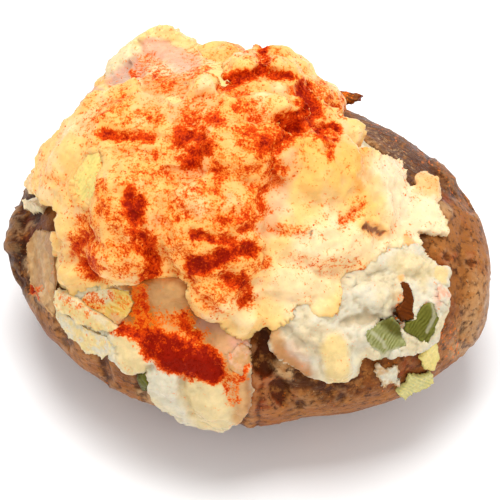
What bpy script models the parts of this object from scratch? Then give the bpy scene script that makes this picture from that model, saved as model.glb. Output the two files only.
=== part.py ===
"""A baked potato, split open and heaped with a creamy leek and ham filling under melted cheese.

The potato's long axis runs along X, the eater sits at -Y, and the potato rests on Z = 0.
Lengths in the tables are millimetres; everything that Blender gets is in metres.
"""

import math

import bmesh
import bpy
from mathutils import Matrix, Vector, geometry, noise
from mathutils.bvhtree import BVHTree

MM = 0.001

# Driving sizes of the potato
POTATO_LENGTH = 124
POTATO_WIDTH = 96
POTATO_HEIGHT = 63
POTATO_MIDDLE = (0, 1)
FLAT_FOOT_DEPTH = 3
OPENING_SIZE = (88, 64, 40)
OPENING_CENTRE = (-4, 3, 58)

# Driving sizes of the heap: a dome that the lobes of filling and cheese sit on
HEAP_CENTRE = (-10, 5, 48)
HEAP_RADII = (48, 39, 38)
CORE_INSET = 8
BOWL_SIZE = (88, 66, 26)
BOWL_CENTRE = (-4, 3, 50)
BLEND = 4

# Fine sizes
VOXEL = 1.0
PIECE_VOXEL = 0.55
NET_STEP = 2.5
PIECE_STEP = 1.5
GAP = 0.35
ROUNDING_PASSES = 1
SWELL_WIDE, SWELL_WIDE_STEP = 1.0, 15
SWELL_FINE, SWELL_FINE_STEP = 0.5, 6
SKIN_LUMP, SKIN_LUMPS_ROUND = 1.2, 3.4
SKIN_LUMP_START = (1.2, 5.5, 0.3)
EVENING_REACH = 1.2
POTATO_TRIANGLES = 2300
FILLING_TRIANGLES = 1700
CHEESE_TRIANGLES = 2350
SLICE_TRIANGLES = 380
PIECE_TRIANGLES = 96

# Sides that lobes and sheets are laid out from: swing round the potato and lean of the plane,
# in degrees. The eye is EYE_DISTANCE away, looking at SERVING_CENTRE.
EATER_SIDE = (10, 52)
FAR_SIDE = (190, 40)
SERVING_CENTRE = (0, 0, 35)
EYE_DISTANCE = 1000

# Swells and dents of the skin: direction from the middle, spread in degrees, height
SKIN_SWELLS = [
    ((0.75, -0.62, -0.1), 32, -1.0),
    ((0.95, 0.25, 0.25), 26, 1.3),
    ((-0.3, -0.9, 0.0), 40, -0.5),
    ((-0.97, -0.1, 0.3), 24, 1.5),
    ((0.55, 0.75, 0.45), 24, 0.8),
    ((-0.5, 0.8, 0.2), 35, 2.0),
    ((0.3, -0.2, -0.95), 30, 1.0),
    ((0.92, -0.24, -0.31), 18, 2.0),
    ((0.4, -0.85, -0.35), 20, -1.5),
]
# Folds of the skin on the eater's side: both ends, half width, depth
SKIN_FOLDS = [
    ((-57, 11), (-56, -9), 3.0, 2.2),
    ((1, -22), (5, -30), 3.0, 2.5),
    ((2, -31), (0, -43), 1.6, 1.6),
    ((7, -36), (11, -40), 2.4, 1.8),
    ((-47, -22), (-49, -24), 2.0, 1.0),
    ((-38, -28), (-40, -33), 1.8, 1.2),
    ((55, 6), (56, -24), 2.5, 0.8),
]

# Lobes as seen from their side: name, place to the right, place up,
# half width, half height, half thickness, turn in degrees, how far the middle stands out
CHEESE_LOBES = [
    ("left_bulge", -31, 11, 10, 14, 7, -8, 5),
    ("left_bulge_foot", -34, -1, 9, 7, 7, 0, 5),
    ("left_roll", -46, 5, 6, 5, 5, -20, 2),
    ("front_left", -44, -6, 7, 5, 6, 15, 3),
    ("crest_left", -2, 46, 4, 5, 5, 0, 2),
    ("crest_right", 8.5, 45, 7, 6, 6, -30, 3),
    ("crest_ridge", 3, 36, 13, 5, 7, 5, 5),
    ("knuckle", -12, 41, 4, 3.5, 5, 35, 3),
    ("upper_lump", -33, 35, 9, 5, 6, 25, 2),
    ("left_swell", -46, 25, 10, 6, 5, 50, 2),
    ("crown", 0, 25, 13, 8, 7, 0, 5),
    ("middle", -9, 5, 13, 14, 6, 10, 4),
    ("right_shoulder", 19, 22, 10, 10, 7, -35, 5),
    ("right_neck", 27, 31, 4, 4, 4, -40, 1),
    ("right_swell", 21, 4, 12, 9, 6, -10, 3),
    ("right_fold", 31, 13, 7, 11, 5, 25, 3),
    ("right_button", 46, 15, 4, 4, 4, 0, 2),
    ("tongue_ridge", -7, -9, 8, 10, 6, -30, 5),
    ("tongue_tip", -1, -17, 6, 5, 5, 20, 4),
    ("right_hem", 36, -3, 10, 4, 4, 15, 2),
    ("drip", 19.5, -13, 4.8, 7, 5, -8, 3.5),
    ("lower_swell", 10, -9, 8, 6, 5, -25, 3),
    ("lower_hem", 27, -1, 8, 5, 5, 30, 3),
    ("lower_corner", 8.5, -15.5, 6.5, 4, 4.5, 32, 3.5),
]
FILLING_LOBES = [
    ("right_curd_upper", 40, -5, 7, 4, 4, 20, 3.5),
    ("right_curd_middle", 31, -12, 7, 5.5, 5, 10, 4),
    ("right_curd_edge", 29, -21, 6, 4, 5, 10, 3.5),
    ("right_curd_lower", 13, -24, 7, 5, 5, -35, 4),
    ("right_bead", 49.4, -6.5, 2.3, 2.3, 2.3, 0, 2.3),
    ("right_drip", 23, -29, 5, 5, 5, 0, 4),
    ("right_blob", 47, -13, 4, 5, 4, 0, 3),
    ("tan_blob", -20, -16, 6, 6, 5, -20, 1.5),
    ("ham_ridge", -8, -22, 6, 10, 6, 15, 2),
    ("front_spill_left", -20, -34, 5, 5, 5, -30, 4),
    ("front_spill_right", -10, -38, 7, 6, 5, -20, 4),
    ("red_bank", -20, -28, 11, 5, 5, -18, 2.5),
]
FAR_LOBES = [
    ("far_sheet_left", -14, -2, 13, 15, 7, 10, -1),
    ("far_sheet_middle", 4, -9, 18, 15, 7, 0, -1),
    ("far_sheet_right", 27, -6, 14, 14, 7, -15, 0),
    ("far_lobe_left", -10, 3, 8, 7, 6, 30, 2),
    ("far_lobe_middle", 8, -8, 11, 7, 6, -10, 3),
    ("far_lobe_right", 27, -4, 8, 9, 6, -20, 3),
    ("far_tongue", -6, -12, 8, 9, 6, 15, 4),
    ("far_drip", 18, -15, 6, 8, 5, -10, 3),
    ("far_drip_right", 37, -13, 6, 7, 5, -10, 3),
]

# Sheets as seen from the eater's side: name, thickness, how far the top stands out, outline
CHEESE_SHEETS = [
    ("left_sheet", 6, 1,
     [(-57, 15), (-57, 18), (-55, 21.5), (-55, 24), (-51.5, 28.5), (-48.5, 31.5), (-45.5, 34.5),
      (-40, 35.5), (-33.5, 33.5), (-34, 26), (-36.5, 15.5), (-39, 9.5), (-43, 10.5), (-47.5, 9),
      (-49.5, 10.5), (-53, 13)]),
    ("left_roll_sheet", 6, 0,
     [(-47.5, 10), (-43, 11.5), (-36, 12), (-33.5, -3), (-37.5, -4.5), (-43, -4), (-48.5, -3), (-52, 0),
      (-51.5, 3.5), (-48.5, 6), (-45, 8)]),
    ("left_middle_sheet", 7, -1,
     [(-43, 10.5), (-40, 15), (-31, 18), (-18, 13), (-15.5, -3), (-19, -9), (-23.5, -9.5), (-31.5, -9),
      (-36.5, -9), (-40.5, -5.5), (-42, -2), (-40.5, 0), (-42.5, 4.5)]),
    ("front_left_sheet", 6, 0.5,
     [(-51, -10), (-51, -5.5), (-49, -2.5), (-44, -0.5), (-37.5, -1.5), (-35.5, -6.5), (-29.5, -9),
      (-30.5, -13), (-39, -13), (-46, -12)]),
    ("upper_sheet", 7, 0.5,
     [(-45.5, 34), (-42.5, 37), (-40, 40), (-36, 41), (-33.5, 43), (-30, 43.5), (-28, 40.5),
      (-23.5, 39.5), (-19.5, 37), (-17, 39), (-15.5, 42.5), (-12.5, 44.5), (-9.5, 44.5), (-6.5, 41.5),
      (0, 36), (-5, 23.5), (-26, 20.5), (-40, 23.5), (-44, 28.5)]),
    ("crest_sheet", 7, -1,
     [(-7, 41.5), (-6, 46.5), (-4.5, 51), (-2, 52.5), (8.5, 52), (12.5, 49), (15.5, 44), (18.5, 40.5),
      (22.5, 37.5), (26.5, 33), (20.5, 26), (2.5, 26), (-6, 31)]),
    ("centre_sheet", 7, -2,
     [(-39, 26), (-26, 33.5), (-5, 36), (15.5, 31), (20.5, 18), (18, 0), (10.5, -13), (-2.5, -15.5),
      (-14, -12), (-19, -3), (-28.5, 0), (-36.5, 5)]),
    ("right_sheet", 7, -1,
     [(8, 31), (20.5, 37.5), (26.5, 34), (29.5, 31.5), (28, 27), (31.5, 19), (33.5, 5), (40, 1),
      (35.5, -0.5), (31.5, -3.5), (28, -6.5), (25.5, -10), (24, -14), (22, -18.5), (18.5, -20),
      (15.5, -18.5), (13.5, -15.5), (10, -16), (6.5, -19), (3, -20), (4.5, 2.5), (3, 18)]),
    ("right_apron", 5, 2,
     [(23.5, 27), (29, 25.5), (34, 24), (37.5, 21.5), (40, 16.5), (42.5, 15), (42.5, 18), (45, 20),
      (49, 18.5), (49.5, 15), (48, 11.5), (49.5, 8.5), (51.5, 3.5), (47.5, 3.5), (42.5, 5), (44, 1),
      (46.5, -2), (46, -5.5), (39, -5.5), (30, -3), (24.5, 8), (21.5, 18)]),
    ("tongue", 6, 1,
     [(-19, -3), (-10.5, 2.5), (1.5, 1), (6.5, -10.5), (4.5, -17.5), (0.5, -21.5), (-5.5, -22),
      (-10.5, -18.5), (-12.5, -13), (-17.5, -9.5)]),
]
FILLING_SHEETS = [
    ("right_curds", 9, 2,
     [(6.5, -17.5), (10.5, -14.5), (14, -13.5), (16.5, -16.5), (20, -17.5), (22, -13), (24, -8.5),
      (26.5, -5), (30.5, -2), (35, 0.5), (39, 1.5), (43.5, 1.5), (46.5, -3), (48.5, -6.5),
      (50, -10.5), (50.5, -16), (49, -18.5), (47.5, -22), (45, -24.5), (41.5, -26.5), (36.5, -27),
      (31.5, -26.5), (27, -27), (26.5, -30.5), (24, -33), (19.5, -33), (13, -31), (9, -28.5),
      (5, -24.5)]),
    ("front_spill", 7, 2.5,
     [(-25.5, -30.5), (-20.5, -26), (-9.5, -26), (-0.5, -30), (0, -36.5), (-2.5, -42), (-6, -44),
      (-11.5, -43.5), (-16.5, -42), (-22, -39), (-25, -35)]),
    ("left_drip", 5, 2.5,
     [(-35.5, -22), (-31.5, -20), (-26.5, -22.5), (-26, -27.5), (-28, -30.5), (-31.5, -29.5),
      (-34.5, -27)]),
    ("left_bank", 7, 0.5,
     [(-51, -10), (-43, -8.5), (-29.5, -8.5), (-27, -20.5), (-34, -24.5), (-39.5, -24), (-45.5, -19.5),
      (-49.5, -15)]),
    ("valley", 9, 1,
     [(-34, -13), (-30, -8), (-10.5, -7), (-3, -15.5), (0.5, -24), (-0.5, -31.5), (-13, -34),
      (-28.5, -30), (-34.5, -20.5)]),
]

# A thick slice that leans up behind the heap: thickness, how far the top stands out, outline
BACK_SLICE = (
    9, -1.5,
    [(-47, 34.5), (-45.5, 38), (-42.5, 41.5), (-37.5, 46.5), (-32.5, 52), (-28, 55.5), (-24.5, 58),
     (-20, 57.5), (-16.5, 55.5), (-14, 54), (-11, 51), (-7, 49), (-5.5, 47.5), (-6, 41), (-13, 34.5),
     (-23.5, 32), (-33.5, 32.5), (-41.5, 33)])

# Loose pieces: name, material, thickness, how far the top stands out, outline
PIECES = [
    ("sauce_flap", "sauce", 2.6, 1.5,
     [(-57.5, 1), (-54.5, 5.5), (-50, 5), (-49.5, -3), (-49, -13), (-50, -17.5), (-53, -14),
      (-56.5, -8.5)]),
    ("white_slice_upper", "flesh", 2.8, 1.8,
     [(-52.5, -9), (-50, -9.5), (-47, -10.5), (-44, -12), (-41.5, -14.5), (-38.5, -16), (-35.5, -18),
      (-33, -21), (-35.5, -21.5), (-37, -20.5), (-39, -20.5), (-41, -18.8), (-43.5, -18.8), (-45.5, -16.5),
      (-48.5, -15.5), (-50, -13.2), (-52, -12)]),
    ("white_slice_lower", "flesh", 2.6, 1.2,
     [(-50.5, -14), (-48, -15.5), (-45, -17.5), (-42.5, -19.5), (-39.5, -21), (-36, -22.5), (-33.5, -24.5),
      (-33.8, -28), (-36, -26.8), (-37.5, -27.8), (-39.5, -26), (-41, -26.5), (-43.5, -24), (-46, -22.5),
      (-47.5, -20), (-49.5, -18)]),
    ("onion_slice", "onion", 2.8, 0.9,
     [(-44, -13.5), (-41.5, -10.5), (-37.5, -9.5), (-31, -10), (-30, -13.5), (-31, -16.5), (-34, -19.5),
      (-37.5, -18.5), (-41, -16)]),
    ("onion_strip", "onion", 2.0, 0.5,
     [(-45.5, 19), (-41.5, 25), (-38, 26), (-37, 22.5), (-39, 15.5), (-41, 11.5), (-44, 12.5),
      (-45.5, 15.5)]),
    ("leek_front", "leek", 3, 1.6,
     [(-29, -31.5), (-26.5, -31), (-25, -34.5), (-26, -36), (-28, -34)]),
    ("leek_light", "leek", 1.8, 0.8,
     [(28.8, -21.5), (31, -20.5), (33.5, -18.8), (36.5, -17.5), (38.2, -18.8), (38.8, -22), (40.5, -24.5),
      (38, -25.5), (35.8, -27.3), (33.2, -27.5), (31.5, -25)]),
    ("leek_dark", "leek", 1.9, 1.0,
     [(43, -16), (45, -13.5), (47, -14), (48.5, -17.5), (47, -21.5), (45, -24), (42.5, -22.5),
      (39.8, -20.8), (40.5, -18.3), (42.5, -18.5)]),
    ("leek_pale_upper", "pale_leek", 2, 1,
     [(45.5, -25), (47.5, -23), (48.5, -27), (47, -30.5), (44.5, -30), (43.5, -27.5)]),
    ("leek_pale_lower", "pale_leek", 2.4, 1.4,
     [(46.3, -30.8), (46.8, -33.5), (44.5, -35.2), (41.5, -36), (39.5, -38), (37.5, -36), (39.8, -33.8),
      (40.5, -31.5), (43.5, -32)]),
    ("ham_front", "ham", 1.8, 0.5,
     [(-7, -27), (-4.5, -25.5), (-3, -23.5), (-0.5, -25.5), (0.5, -28.5), (-1.5, -30), (-2, -32.5),
      (-5, -31)]),
    ("ham_right", "ham", 2.4, 1.2,
     [(48, -9), (50.2, -9.2), (51, -12), (50.3, -14.5), (48.3, -13.5)]),
    ("browned_strip", "toasted", 1.6, 0.7,
     [(38.8, -8), (41, -9.5), (42.3, -12.5), (41.5, -15), (42.3, -17.8), (39.2, -18), (37.6, -15.5),
      (39.8, -13.2), (39.2, -10.5)]),
    ("skin_flake", "skin", 1.8, 1.5,
     [(18.5, 40.5), (22, 41), (26, 40.3), (29.4, 39.8), (28, 38.4), (25.5, 37.8), (23, 36.8), (19, 37)]),
    ("mash_finger", "flesh", 3.4, 1.6,
     [(-58, 10), (-57.5, 12.5), (-55.5, 13.5), (-53, 12), (-52.5, 10), (-55, 9)]),
    ("mash_crumb", "flesh", 2.2, 1.0,
     [(32, -31.5), (33.2, -29.4), (35.4, -30.4), (37, -29), (38.8, -30.8), (37.6, -32.4), (38.4, -34.2),
      (36, -33.8), (34.4, -35.4), (33.4, -33.6)]),
]


def material(name, colour, roughness):
    """A plain Principled material in the food's own colour."""
    made = bpy.data.materials.new(name)
    made.use_nodes = True
    shader = made.node_tree.nodes["Principled BSDF"]
    shader.inputs["Base Color"].default_value = (*colour, 1)
    shader.inputs["Roughness"].default_value = roughness
    shader.inputs["Metallic"].default_value = 0
    return made


def side_axes(side):
    """Right, up and out of the leaning plane that somebody on this side looks at."""
    swing, lean = (math.radians(angle) for angle in side)
    right = Vector((math.cos(swing), math.sin(swing), 0))
    out = Vector((math.sin(swing) * math.cos(lean), -math.cos(swing) * math.cos(lean), math.sin(lean)))
    return right, out.cross(right), out


def sight_line(side, across, above):
    """Start and way of the line that meets the eye from this place of the side's plane."""
    right, up, out = side_axes(side)
    offset = right * across + up * above
    return Vector(SERVING_CENTRE) + offset, out - offset / EYE_DISTANCE


def reach_of(centre, radii, start, way):
    """How far along the way an ellipsoid's skin lies, or its middle where the line passes it by."""
    offset = [(start[i] - centre[i]) / radii[i] for i in range(3)]
    ray = [way[i] / radii[i] for i in range(3)]
    length = sum(r * r for r in ray)
    half_b = sum(o * r for o, r in zip(offset, ray))
    inside = half_b * half_b - length * (sum(o * o for o in offset) - 1)
    return (-half_b + math.sqrt(max(inside, 0))) / length


def make_tree(thing):
    """A search tree that finds where lines meet this skin."""
    shape = bmesh.new()
    shape.from_mesh(thing.data)
    tree = BVHTree.FromBMesh(shape)
    shape.free()
    return tree


def hit_reach(trees, start, way):
    """How far along the way the outermost skin of these lies, or None."""
    far = start + way * EYE_DISTANCE / 2
    gaps = [tree.ray_cast(far * MM, -way)[3] for tree in trees]
    gaps = [gap for gap in gaps if gap]
    return EYE_DISTANCE / 2 - min(gaps) / MM / way.length if gaps else None


def reach_over_skin(skin, dome=True):
    """A reach function for the outside of the potato, softly blended with the heap's dome if wanted."""

    def reach_at(side, across, above):
        start, way = sight_line(side, across, above)
        half = (POTATO_LENGTH / 2, POTATO_WIDTH / 2, POTATO_HEIGHT / 2)
        potato = hit_reach([skin], start, way)
        if potato is None:
            potato = reach_of((*POTATO_MIDDLE, half[2]), half, start, way)
        if not dome:
            return potato
        heap = reach_of(HEAP_CENTRE, HEAP_RADII, start, way)
        higher, lower = max(heap, potato), min(heap, potato)
        return higher + BLEND * math.exp((lower - higher) / BLEND) / 2

    return reach_at


def reach_over_bodies(trees):
    """A reach function that follows the bodies' own skins, evened out a little."""

    def reach_at(side, across, above):
        reaches = []
        for x, y in ((0, 0), (1, 0), (-1, 0), (0, 1), (0, -1)):
            line = sight_line(side, across + x * EVENING_REACH, above + y * EVENING_REACH)
            reaches.append(hit_reach(trees, *line))
        found = [reach for reach in reaches if reach is not None]
        return sum(found) / len(found) if found else 0

    return reach_at


def lay(reach_at, side, across, above):
    """The point that shows at this place of the side's plane, and the normal there."""
    right, up, out = side_axes(side)
    start, way = sight_line(side, across, above)
    slope_across = (reach_at(side, across + 1, above) - reach_at(side, across - 1, above)) / 2
    slope_up = (reach_at(side, across, above + 1) - reach_at(side, across, above - 1)) / 2
    normal = (out - right * slope_across - up * slope_up).normalized()
    return start + way * reach_at(side, across, above), normal


def lobe_matrix(lobe, reach_at, side=EATER_SIDE):
    """Where a lobe lies: flat on the heap, half turned to its side, and stretched to its size."""
    _, across, above, half_width, half_height, half_thick, turn, proud = lobe
    right, _, facing = side_axes(side)
    point, normal = lay(reach_at, side, across, above)
    out = (normal + facing).normalized()
    sideways = (right - out * right.dot(out)).normalized()
    frame = Matrix((sideways, out.cross(sideways), out)).transposed().to_4x4()
    place = Matrix.Translation((point + out * (proud - half_thick)) * MM)
    spin = Matrix.Rotation(math.radians(turn), 4, "Z")
    stretch = Matrix.Diagonal((half_width * MM, half_height * MM, half_thick * MM, 1))
    return place @ frame @ spin @ stretch


def ellipsoid_matrix(centre, size):
    """Makes a unit ball into an upright ellipsoid."""
    return Matrix.Translation(Vector(centre) * MM) @ Matrix.Diagonal((*(Vector(size) * MM / 2), 1))


def inside(outline, x, y):
    """Whether a place lies within an outline, by counting the edges to its right."""
    crossings = 0
    for (ax, ay), (bx, by) in zip(outline, outline[1:] + outline[:1]):
        if (ay > y) != (by > y) and x < ax + (y - ay) / (by - ay) * (bx - ax):
            crossings += 1
    return crossings % 2 == 1


def net(outline, step):
    """A net of triangles that fills an outline, with corners about step apart."""
    rim = []
    for start, end in zip(outline, outline[1:] + outline[:1]):
        start, end = Vector(start), Vector(end)
        parts = max(1, round((end - start).length / step))
        rim += [start.lerp(end, part / parts) for part in range(parts)]
    corners = list(rim)
    low = [min(point[i] for point in outline) for i in range(2)]
    high = [max(point[i] for point in outline) for i in range(2)]
    for row in range(int((high[1] - low[1]) / step)):
        for column in range(int((high[0] - low[0]) / step)):
            place = Vector((low[0] + (column + 0.5 + row % 2 / 2) * step, low[1] + (row + 0.5) * step))
            if inside(outline, *place) and min((place - point).length for point in rim) > step / 2:
                corners.append(place)
    made = geometry.delaunay_2d_cdt(corners, [], [list(range(len(rim)))], 1, 0.001)
    return made[0], made[2]


def add_sheet(shape, outline, thickness, proud, reach_at, step):
    """Adds a closed sheet with this outline that follows the food below it."""
    places, triangles = net(outline, step)
    laid = [lay(reach_at, EATER_SIDE, *place) for place in places]
    top = [shape.verts.new((point + normal * proud) * MM) for point, normal in laid]
    base = [shape.verts.new((point + normal * (proud - thickness)) * MM) for point, normal in laid]
    edges = set()
    for triangle in triangles:
        shape.faces.new([top[i] for i in triangle])
        shape.faces.new([base[i] for i in reversed(triangle)])
        edges.update(zip(triangle, [*triangle[1:], triangle[0]]))
    for a, b in edges:
        if (b, a) not in edges:
            shape.faces.new((top[b], top[a], base[a], base[b]))


def add_helper(name, mesh):
    """A new object that stays a helper until it is finished."""
    made = bpy.data.objects.new(name, mesh)
    HELPERS.objects.link(made)
    return made


def apply_modifiers(thing):
    """The evaluated mesh takes the place of the mesh and its modifiers."""
    graph = bpy.context.evaluated_depsgraph_get()
    mesh = bpy.data.meshes.new_from_object(thing.evaluated_get(graph))
    thing.modifiers.clear()
    thing.data = mesh
    return thing


def rough_shape(name, balls=(), sheets=(), reach_at=None, step=NET_STEP, detail=3):
    """One object that holds a ball for each matrix and a sheet for each outline."""
    mesh = bpy.data.meshes.new(name)
    shape = bmesh.new()
    for matrix in balls:
        bmesh.ops.create_icosphere(shape, subdivisions=detail, radius=1, matrix=matrix)
    for thickness, proud, outline in sheets:
        add_sheet(shape, outline, thickness, proud, reach_at, step)
    shape.to_mesh(mesh)
    shape.free()
    return add_helper(name, mesh)


def melt(thing, voxel=VOXEL, passes=ROUNDING_PASSES):
    """Runs overlapping shapes together into one skin with softened creases."""
    remesh = thing.modifiers.new("melt", "REMESH")
    remesh.mode = "VOXEL"
    remesh.voxel_size = voxel * MM
    smooth = thing.modifiers.new("soften", "SMOOTH")
    smooth.factor = 0.5
    smooth.iterations = passes
    return apply_modifiers(thing)


def thin_out(thing, triangles):
    """Brings a skin down to about this many triangles, where it is flattest first."""
    thing.data.calc_loop_triangles()
    now = len(thing.data.loop_triangles)
    decimate = thing.modifiers.new("thin", "DECIMATE")
    decimate.use_collapse_triangulate = True
    decimate.ratio = min(1, triangles / now)
    return apply_modifiers(thing)


def grown(thing, by=GAP):
    """A helper copy whose skin lies this far outside."""
    copy = thing.copy()
    copy.data = thing.data.copy()
    copy.name = thing.name + "_grown"
    HELPERS.objects.link(copy)
    swell = copy.modifiers.new("swell", "DISPLACE")
    swell.strength = by * MM
    swell.mid_level = 0
    return apply_modifiers(copy)


def apart(one, other):
    """Whether the boxes round two things leave room between them."""
    boxes = []
    for thing in (one, other):
        corners = [corner.co for corner in thing.data.vertices]
        boxes.append([(min(c[i] for c in corners), max(c[i] for c in corners)) for i in range(3)])
    return any(a[1] < b[0] or b[1] < a[0] for a, b in zip(*boxes))


def cut(thing, cutters, solver="MANIFOLD"):
    """Takes the cutters' space out of a thing, keeping its largest body."""
    for cutter in cutters:
        if apart(thing, cutter):
            continue
        boolean = thing.modifiers.new("cut", "BOOLEAN")
        boolean.operation = "DIFFERENCE"
        boolean.solver = solver
        boolean.object = cutter
        apply_modifiers(thing)
    return keep_largest(thing)


def keep_largest(thing):
    """Drops the loose scraps that a cut leaves."""
    shape = bmesh.new()
    shape.from_mesh(thing.data)
    left = set(shape.verts)
    bodies = []
    while left:
        body = set()
        front = [left.pop()]
        while front:
            corner = front.pop()
            body.add(corner)
            for edge in corner.link_edges:
                other = edge.other_vert(corner)
                if other in left:
                    left.remove(other)
                    front.append(other)
        bodies.append(body)
    bodies.sort(key=len)
    scraps = [corner for body in bodies[:-1] for corner in body]
    bmesh.ops.delete(shape, geom=scraps, context="VERTS")
    shape.to_mesh(thing.data)
    shape.free()
    return thing


def finish(thing, kind):
    """Gives a body its material and its place among the food."""
    thing.data.materials.clear()
    thing.data.materials.append(MATERIALS[kind])
    thing.data.shade_smooth()
    FOOD.objects.link(thing)
    HELPERS.objects.unlink(thing)


def unevenness(point, step):
    """Soft lumps that repeat about every step millimetres."""
    return noise.noise(point / (step * MM))


def swell(thing):
    """Lifts and sinks a skin a little everywhere, as melted food is never smooth."""
    normals = [corner.normal.copy() for corner in thing.data.vertices]
    for corner, normal in zip(thing.data.vertices, normals):
        wide = SWELL_WIDE * unevenness(corner.co, SWELL_WIDE_STEP)
        fine = SWELL_FINE * unevenness(corner.co, SWELL_FINE_STEP)
        corner.co += normal * (wide + fine) * MM
    return thing


def skin_lift(way):
    """The skin's rise above the plain ellipsoid in this direction, in millimetres."""
    lift = SKIN_LUMP * noise.noise(way * SKIN_LUMPS_ROUND + Vector(SKIN_LUMP_START))
    for towards, spread, height in SKIN_SWELLS:
        away = math.degrees(way.angle(Vector(towards)))
        lift += height * math.exp(-((away / spread) ** 2))
    return lift


def fold_depth(point):
    """How deep the folds of the eater's side are at this point of the skin."""
    right, up, out = side_axes(EATER_SIDE)
    offset = point - Vector(SERVING_CENTRE)
    nearer = 1 - offset.dot(out) / EYE_DISTANCE
    place = Vector((offset.dot(right), offset.dot(up))) / nearer
    depth = 0
    for start, end, half_width, deepest in SKIN_FOLDS:
        closest, along = geometry.intersect_point_line(place, Vector(start), Vector(end))
        closest = Vector(start).lerp(Vector(end), min(max(along, 0), 1))
        depth += deepest * math.exp(-(((place - closest).length / half_width) ** 2))
    return depth


def make_potato():
    """The baked potato before it is opened, with a flat foot, swells and folds."""
    half = Vector((POTATO_LENGTH, POTATO_WIDTH, POTATO_HEIGHT + FLAT_FOOT_DEPTH)) / 2
    potato = rough_shape("potato", [Matrix.Identity(4)], detail=6)
    facing = side_axes(EATER_SIDE)[2]
    for corner in potato.data.vertices:
        way = corner.co.normalized()
        point = Vector(way[i] * half[i] for i in range(3)) + way * skin_lift(way)
        point += Vector((*POTATO_MIDDLE, half.z - FLAT_FOOT_DEPTH))
        outward = Vector(way[i] / half[i] for i in range(3)).normalized()
        if outward.dot(facing) > 0:
            point -= outward * fold_depth(point)
        point.z = max(point.z, 0)
        corner.co = point * MM
    return thin_out(potato, POTATO_TRIANGLES)


def make_back_slice(reach_at):
    """The thick pale slice whose edge shows behind the heap."""
    thickness, proud, outline = BACK_SLICE
    slab = rough_shape("back_slice", (), [(thickness, proud, outline)], reach_at, NET_STEP)
    return thin_out(swell(melt(slab)), SLICE_TRIANGLES)


def make_filling(reach_at):
    """The creamy filling: it fills the opening, carries the cheese and spills over the skin."""
    core = ellipsoid_matrix(HEAP_CENTRE, (Vector(HEAP_RADII) - Vector((CORE_INSET,) * 3)) * 2)
    bowl = ellipsoid_matrix(BOWL_CENTRE, BOWL_SIZE)
    lobes = [lobe_matrix(lobe, reach_at) for lobe in FILLING_LOBES]
    sheets = [sheet[1:] for sheet in FILLING_SHEETS]
    filling = rough_shape("creamy_filling", [core, bowl, *lobes], sheets, reach_at)
    return thin_out(swell(melt(filling)), FILLING_TRIANGLES)


def make_cheese(reach_at):
    """The melted cheese: ragged sheets with soft lobes, run together into one cover."""
    lobes = [lobe_matrix(lobe, reach_at) for lobe in CHEESE_LOBES]
    lobes += [lobe_matrix(lobe, reach_at, FAR_SIDE) for lobe in FAR_LOBES]
    sheets = [sheet[1:] for sheet in CHEESE_SHEETS]
    cheese = rough_shape("melted_cheese", lobes, sheets, reach_at)
    return thin_out(swell(melt(cheese)), CHEESE_TRIANGLES)


def make_pieces(over_bodies, over_skin, potato_body):
    """The loose pieces, each bedded in what lies below it. Returns their grown bodies."""
    pieces = []
    for name, kind, thickness, proud, outline in PIECES:
        bed = over_skin if kind == "skin" else over_bodies
        piece = rough_shape(name, (), [(thickness, proud, outline)], bed, PIECE_STEP)
        thin_out(melt(piece, PIECE_VOXEL, 1), PIECE_TRIANGLES)
        cut(piece, [potato_body, *pieces])
        pieces.append(grown(piece))
        finish(piece, kind)
    return pieces


def settle():
    """Moves all food so that the middle of its box stands over the origin, on Z = 0."""
    corners = [corner.co for thing in FOOD.objects for corner in thing.data.vertices]
    low = [min(corner[i] for corner in corners) for i in range(3)]
    high = [max(corner[i] for corner in corners) for i in range(3)]
    shift = Vector((-(low[0] + high[0]) / 2, -(low[1] + high[1]) / 2, -low[2]))
    for thing in FOOD.objects:
        thing.data.transform(Matrix.Translation(shift))


def main():
    potato = make_potato()
    skin = make_tree(potato)
    opening = rough_shape("opening", [ellipsoid_matrix(OPENING_CENTRE, OPENING_SIZE)])
    cut(potato, [opening], "EXACT")
    over_skin = reach_over_skin(skin)
    slab = make_back_slice(over_skin)
    filling = make_filling(over_skin)
    cheese = make_cheese(over_skin)
    trees = [make_tree(body) for body in (potato, filling, cheese, slab)]
    potato_body = grown(potato)
    over_bodies = reach_over_bodies(trees)
    pieces = make_pieces(over_bodies, reach_over_skin(skin, dome=False), potato_body)
    cut(slab, [potato_body, *pieces])
    slab_body = grown(slab)
    cut(filling, [potato_body, slab_body, *pieces])
    filling_body = grown(filling)
    cut(cheese, [potato_body, slab_body, filling_body, *pieces])
    finish(potato, "skin")
    finish(slab, "flesh")
    finish(filling, "cream")
    finish(cheese, "melted")
    settle()
    for helper in list(HELPERS.objects):
        helper.hide_render = True
        helper.display_type = "WIRE"


for old in list(bpy.data.objects):
    bpy.data.objects.remove(old)
FOOD = bpy.data.collections.new("baked_potato")
HELPERS = bpy.data.collections.new("helpers")
bpy.context.scene.collection.children.link(FOOD)
bpy.context.scene.collection.children.link(HELPERS)
MATERIALS = {
    "skin": material("baked_skin", (0.25, 0.11, 0.05), 0.5),
    "cream": material("creamy_mash", (0.85, 0.76, 0.55), 0.45),
    "melted": material("melted_cheese", (0.95, 0.66, 0.28), 0.35),
    "flesh": material("potato_flesh", (0.86, 0.80, 0.62), 0.5),
    "onion": material("soft_onion", (0.82, 0.70, 0.30), 0.35),
    "leek": material("green_leek", (0.16, 0.20, 0.06), 0.4),
    "pale_leek": material("pale_leek", (0.55, 0.58, 0.26), 0.4),
    "ham": material("cooked_ham", (0.80, 0.45, 0.36), 0.4),
    "toasted": material("toasted_edge", (0.14, 0.05, 0.02), 0.5),
    "sauce": material("thin_sauce", (0.50, 0.33, 0.17), 0.3),
}
main()
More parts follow.
